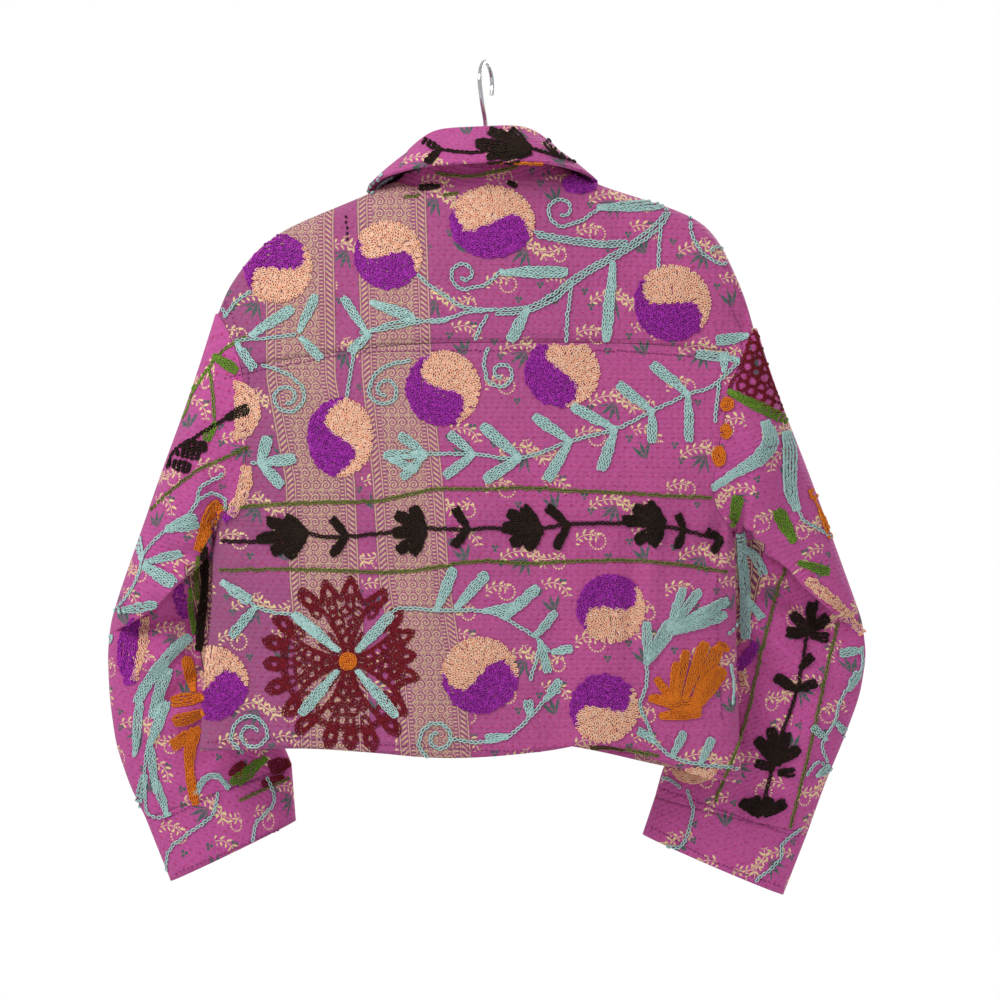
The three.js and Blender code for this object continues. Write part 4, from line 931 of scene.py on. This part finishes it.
# Shapes that follow a bent line. Columns: colour, points, width at each point.
for hue, points, widths in (
    ("orange", [(221, 503), (213, 511), (206, 528), (198, 550)], [13, 16, 14, 7]),
    ("purple", [(137, 620), (129, 636), (127, 658), (130, 684)], [10, 19, 20, 8]),
    ("peach", [(145, 616), (144, 636), (140, 660), (134, 680)], [9, 10, 9, 6]),
    ("purple", [(179, 584), (180, 600), (184, 618)], [8, 12, 5]),
    # The strip inside the left elbow is dark green stitching; it is worked in the near-black thread, which is
    # partly painted shade.
    ("dark", [(204, 546), (204, 590), (201, 620), (199, 650)], [6, 10, 9, 7]),
    ("leaf", [(190, 588), (191, 608), (195, 634)], [3, 6, 6]),
    ("olive", [(198, 556), (196, 580), (198, 600)], [3, 5, 4]),
    ("orange", [(196, 728), (190, 750), (190, 772), (195, 804)], [13, 12, 9, 8]),
    ("mint", [(196, 794), (204, 779), (217, 776), (229, 788)], [5, 7, 7, 5]),
    ("mint", [(190, 636), (173, 651), (159, 667), (147, 684), (137, 703)], [9, 11, 12, 12, 9]),
    ("mint", [(170, 668), (160, 690), (153, 718)], [8, 12, 9]),
    ("mint", [(785, 431), (789, 450), (789, 470), (790, 490), (797, 510)], [9, 15, 15, 14, 7]),
    ("mint", [(764, 421), (770, 440), (759, 458), (738, 471), (712, 488)], [8, 17, 15, 9, 4]),
    ("mint", [(740, 532), (742, 560), (745, 594), (746, 638)], [9, 12, 11, 9]),
    ("mint", [(744, 548), (755, 556), (765, 574)], [6, 9, 10]), ("mint", [(746, 598), (762, 618)], [6, 9]),
    ("peach", [(807, 579), (822, 592), (841, 608), (862, 634)], [8, 11, 9, 6]),
    ("purple", [(846, 618), (860, 631)], [6, 5]),
    ("purple", [(756, 642), (748, 656), (738, 668)], [5, 13, 9]),
    ("peach", [(741, 670), (746, 685)], [10, 5]),
):
    swath(hue, points, widths)

# An open net of rings at the top of the arm.
for across in range(6):
    for k in range(across + 1):
        spot = np.array([754 - across * 2.6 + k * 8.6 + across % 2, 338 + across * 9.5 + k * 5.4])
        chain("maroon", spot + (4.4 + (across + k) % 2 * 0.6) * circle(17), 3.7, 4.6, 3.6)
chain("maroon", bent([(754, 330), (764, 360), (776, 392), (788, 418)]), 4, 5, 4)
chain("maroon", bent([(752, 332), (742, 362), (729, 388)]), 4, 5, 4)

# The cuffs carry cut ends of thin mint lines.
lines({"mint": [
    [(167, 880), (169, 851), (189, 833), (212, 815), (218, 792)],
    [(252, 846), (256, 824), (274, 801), (267, 777)], [(147, 812), (158, 817), (172, 812)],
    [(667, 846), (683, 844), (693, 812), (688, 790)], [(755, 881), (779, 860), (782, 844), (801, 828)],
    [(661, 778), (672, 780), (681, 788)],
]})

# The hidden fronts carry the same kinds of motif, laid out loosely and less densely.
worked_from["side"] = -1
for cx, cy, radius, towards, tall in (
    (332, 262, 35, 200, 1), (430, 330, 34, 130, 1), (596, 236, 36, 60, 1), (690, 300, 34, 250, 1),
    (560, 424, 34, 180, 1), (300, 420, 34, 90, 1), (412, 636, 35, 220, 1), (640, 620, 35, 140, 1),
    (150, 640, 28, 200, 1.1), (820, 600, 26, 160, 1.2),
):
    disc(("purple", "peach"), cx, cy, radius, towards, tall)
lines({
    "mint": [[(264, 330), (300, 320), (350, 330), (392, 316), (440, 286), (462, 262)],
        [(516, 330), (560, 320), (604, 300), (650, 336), (706, 352)],
        [(252, 462), (320, 470), (380, 462), (458, 448)], [(518, 470), (580, 468), (640, 444), (716, 420)],
        [(262, 640), (300, 612), (350, 600)], [(520, 610), (560, 640), (580, 690), (560, 720)],
        [(140, 520), (160, 580), (170, 700), (190, 780)], [(830, 500), (826, 560), (800, 700), (780, 780)]],
    "olive": [[(232, 506), (330, 500), (456, 500)], [(232, 572), (340, 566), (456, 570)],
        [(518, 500), (620, 498), (730, 506)], [(518, 570), (620, 566), (726, 572)]],
    "dark": [[(236, 538), (330, 534), (456, 536)], [(518, 536), (620, 534), (730, 540)]],
})
for x0 in (300, 430, 590, 716):
    for dx, dy in ((-46, 4), (-38, -14), (-20, -22), (-36, 18), (-18, 24)):
        leaf("dark", (x0, 534), (x0 + dx, 534 + dy), 12)
for x0 in (352, 470, 640, 540):
    for dy in (-18, 18):
        leaf("dark", (x0, 534), (x0 - 14, 534 + dy), 9)
for (ax, ay), (bx, by) in (
    ((300, 320), (280, 296)), ((300, 320), (290, 350)), ((350, 330), (360, 300)), ((350, 330), (370, 356)),
    ((392, 316), (376, 288)), ((560, 320), (544, 292)), ((560, 320), (580, 350)), ((604, 300), (640, 282)),
    ((650, 336), (664, 364)), ((320, 470), (300, 444)), ((320, 470), (306, 494)), ((380, 462), (362, 436)),
    ((380, 462), (370, 490)), ((430, 452), (414, 430)), ((580, 468), (600, 492)), ((640, 444), (622, 424)),
    ((640, 444), (652, 474)), ((690, 428), (676, 404)), ((300, 612), (290, 586)), ((350, 600), (386, 592)),
    ((560, 640), (596, 652)), ((580, 690), (552, 680)), ((160, 580), (136, 566)), ((166, 640), (196, 626)),
    ((172, 710), (150, 700)), ((826, 560), (852, 546)), ((812, 640), (786, 626)), ((800, 700), (826, 690)),
):
    leaf("mint", (ax, ay), (bx, by), 11)
leaves("orange", [
    ((330, 720), (352, 664), 15), ((330, 720), (322, 670), 11),
    ((332, 722), (376, 690), 12), ((330, 722), (300, 690), 11),
])
worked_from["side"] = 1

# Rows of plain stitching along the seams and edges, in thread like the cloth.
for points in (
    [(224, 378), (300, 362), (372, 352), (486, 350), (600, 350), (668, 354), (734, 360)],
    [(206, 742), (300, 738), (380, 744), (486, 750), (600, 754), (660, 766), (738, 776)],
    [(224, 300), (240, 336), (248, 372), (246, 420)], [(728, 300), (742, 340), (734, 380), (716, 420)],
    [(391, 178), (430, 166), (486, 164), (545, 165), (575, 171)], [(160, 822), (220, 792), (286, 772)],
    [(718, 548), (717, 620), (722, 720)], [(215, 536), (210, 600), (205, 720)],
    [(654, 786), (720, 810), (800, 838)], [(174, 874), (236, 848), (292, 824)],
    [(650, 826), (716, 862), (780, 886)],
):
    chain("seam", bent(points), 4.2, 2.8, 0.9)


GRAZING = 0.24  # cloth that faces the eye by less than this carries no stitch


def sew(hue, rows):
    """Works one colour's stitches onto the cloth that shows from where each was placed."""
    chance = np.random.default_rng(len(rows))
    spots = []
    for way, px, py, dx, dy, long, wide in rows:
        eye = Vector((EYE[0], EYE[1] * way, EYE[2]))
        aim = Vector((-way * (px - APEX[0]) * PIXEL, 0, -(py - APEX[1]) * PIXEL)) - eye
        aim.normalize()
        hit, normal, _, _ = cloth_tree.ray_cast(eye, aim)
        if hit is None:
            continue
        if normal.dot(aim) > 0:
            normal = -normal
        facing = -normal.dot(aim)
        if facing < GRAZING:
            continue
        along = Vector((-way * dx, 0, -dy))
        along = along + aim * (along.dot(normal) / facing)
        spots.append((*hit, *along.normalized(), *normal, long, wide))
    spots = np.array(spots)
    count = len(spots)
    at, along, out = spots[:, 0:3], spots[:, 3:6], spots[:, 6:9]
    over = np.cross(out, along)
    # By hand each stitch lies a little off its line. The round motifs are the loosest.
    loose = 2.2 if hue in ("peach", "purple") else 1
    turn = chance.normal(0, 0.15 * loose, count)[:, None]
    at = at + along * chance.normal(0, 0.35, (count, 1)) + over * chance.normal(0, 0.3 * loose, (count, 1))
    at = at + out * chance.uniform(0, 0.25 * loose, (count, 1))
    along, over = along * np.cos(turn) + over * np.sin(turn), over * np.cos(turn) - along * np.sin(turn)
    long = (spots[:, 9] * chance.uniform(0.93, 1.07, count))[:, None]
    wide = (spots[:, 10] * chance.uniform(0.9, 1.1, count))[:, None]
    thick = {"seam": 0.4, "maroon": 0.74, "dark": 0.95}.get(hue, 0.88)
    lift = {"mint": 0.5, "orange": 0.6, "dark": 0.8}.get(hue, 0.0)
    # Each strand is a three-sided tube through three places. Columns: along, across and off the cloth.
    rings = []
    for side in (-1, 1):
        for share, off, high in ((-0.5, 0.1, 0.25), (0.0, 0.33, 0.75), (0.5, 0.07, 0.45)):
            spine = at + along * long * share + over * wide * off * side + out * (high + lift)
            for a, b in ((1, 0), (-0.5, 0.87), (-0.5, -0.87)):
                rings.append(spine + out * a * thick + over * b * thick)
    points = np.stack(rings, axis=1).reshape(-1, 3) / MM
    turns = []
    for strand in (0, 9):
        for ring in (0, 3):
            for k in range(3):
                a, b = strand + ring + k, strand + ring + (k + 1) % 3
                turns.append((a, b, b + 3, a + 3))
    quads = (np.array(turns)[None] + (np.arange(count) * 18)[:, None, None]).reshape(-1, 4)
    mesh = bpy.data.meshes.new("stitches_" + hue)
    mesh.from_pydata(points.tolist(), [], quads.tolist())
    mesh.polygons.foreach_set("use_smooth", np.ones(len(quads), bool))
    piece = bpy.data.objects.new("stitches_" + hue, mesh)
    scene.collection.objects.link(piece)
    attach(piece, "root")
    dye = new_material("thread " + hue)
    spread = (spots_of(520.0, 2.0) - 0.32).most(0.0) * 2.6
    dark, light = DYES[hue]
    shade = blend(spread, colour(*dark), colour(*light))
    mesh.materials.append(set_look(dye, Base_Color=shade, Roughness=0.78, Specular_IOR_Level=0.3))


# The threads' dyes: the darker and the lighter colour of each.
DYES = {
    "purple": ((124, 16, 132), (206, 66, 208)), "peach": ((252, 174, 136), (255, 232, 208)),
    "mint": ((166, 206, 202), (204, 234, 230)), "dark": ((16, 9, 5), (54, 33, 20)),
    "maroon": ((104, 12, 28), (156, 28, 46)), "orange": ((224, 112, 18), (246, 150, 48)),
    "olive": ((92, 104, 38), (134, 148, 64)), "leaf": ((92, 134, 36), (134, 174, 60)),
    "seam": ((140, 52, 112), (176, 82, 146)),
}
for hue, rows in sewn.items():
    sew(hue, rows)

# The buttons, dark polished horn sewn to the band, and the hanger, a bar of pale planed wood with a hook of
# bright wire.
horn = new_material("horn")
set_look(horn, Base_Color=blend(spots_of(90.0, 3.0), colour(38, 22, 16), colour(92, 60, 40)), Roughness=0.3)
wood = new_material("pale wood")
grain = Thread.node("ShaderNodeVectorMath", {"operation": "MULTIPLY"}, i0=object_place(), i1=(0.08, 1.0, 1.0))
grain = Thread.node("ShaderNodeTexNoise", i0=grain, Scale=260.0, Detail=4.0)
set_look(wood, Base_Color=blend(grain, colour(176, 134, 90), colour(214, 178, 130)), Roughness=0.45)
wire = set_look(new_material("bright wire"), Base_Color=colour(205, 208, 212), Metallic=1.0, Roughness=0.16)
for node, made in [(f"button_{n}", horn) for n in range(1, 6)] + [
        ("hanger_bar", wood), ("hanger_hook", wire)]:
    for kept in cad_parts[node].material_slots:
        kept.material = made

# A pale floor well below, soft light all round, and the camera behind the jacket, level with its middle.
bpy.ops.mesh.primitive_plane_add(size=4, location=(0, 0, -1.3))
floor = bpy.context.object
floor.name = "floor"
pale = set_look(new_material("pale floor"), Base_Color=(0.85, 0.85, 0.85, 1), Roughness=0.9)
floor.data.materials.append(pale)
world = bpy.data.worlds.new("studio")
world.use_nodes = True
Thread.tree = world.node_tree
sky = world.node_tree.nodes["Background"]
plug(sky.inputs["Color"], (1, 1, 1, 1))
# The sky is white to the camera and 0.58 as strong as a light.
plug(sky.inputs["Strength"], Thread.node("ShaderNodeLightPath") * 0.42 + 0.58)
scene.world = world
for place in ((1.1, 1.5, 0.9), (-1.2, -1.6, 0.8)):
    bpy.ops.object.light_add(type="AREA", location=place)
    lamp = bpy.context.object
    lamp.data.energy, lamp.data.size = 24, 0.8
    lamp.rotation_mode = "QUATERNION"
    lamp.rotation_quaternion = (Vector((0, 0, -0.4)) - Vector(place)).to_track_quat("-Z", "Y")
# The camera stands 2.5 m off, and its picture is 0.95 m wide there.
bpy.ops.object.camera_add(location=(-0.0133, 2.5, -0.414), rotation=(math.pi / 2, 0, math.pi))
scene.camera = bpy.context.object
scene.camera.data.sensor_width = 36
scene.camera.data.lens = 36 * 2.5 / 0.95
scene.view_settings.view_transform = "Standard"

# The width and length of the panel each piece of cloth was cut from, and its own flat area. The lesser of
# its area and the panel's is worked out for each piece and not used.
for piece, wide, long, area in zip(
    all_cloth,
    (0.54, 0.56, 0.30, 0.30, 0.036, 0.46, 0.50, 0.56, 0.58, 0.30, 0.30),
    (0.19, 0.43, 0.56, 0.60, 0.466, 0.06, 0.10, 0.46, 0.46, 0.10, 0.10),
    (0.0722, 0.188, 0.128, 0.127, 0.0160, 0.0165, 0.025, 0.112, 0.1255, 0.019, 0.0173),
):
    min(area, wide * long)
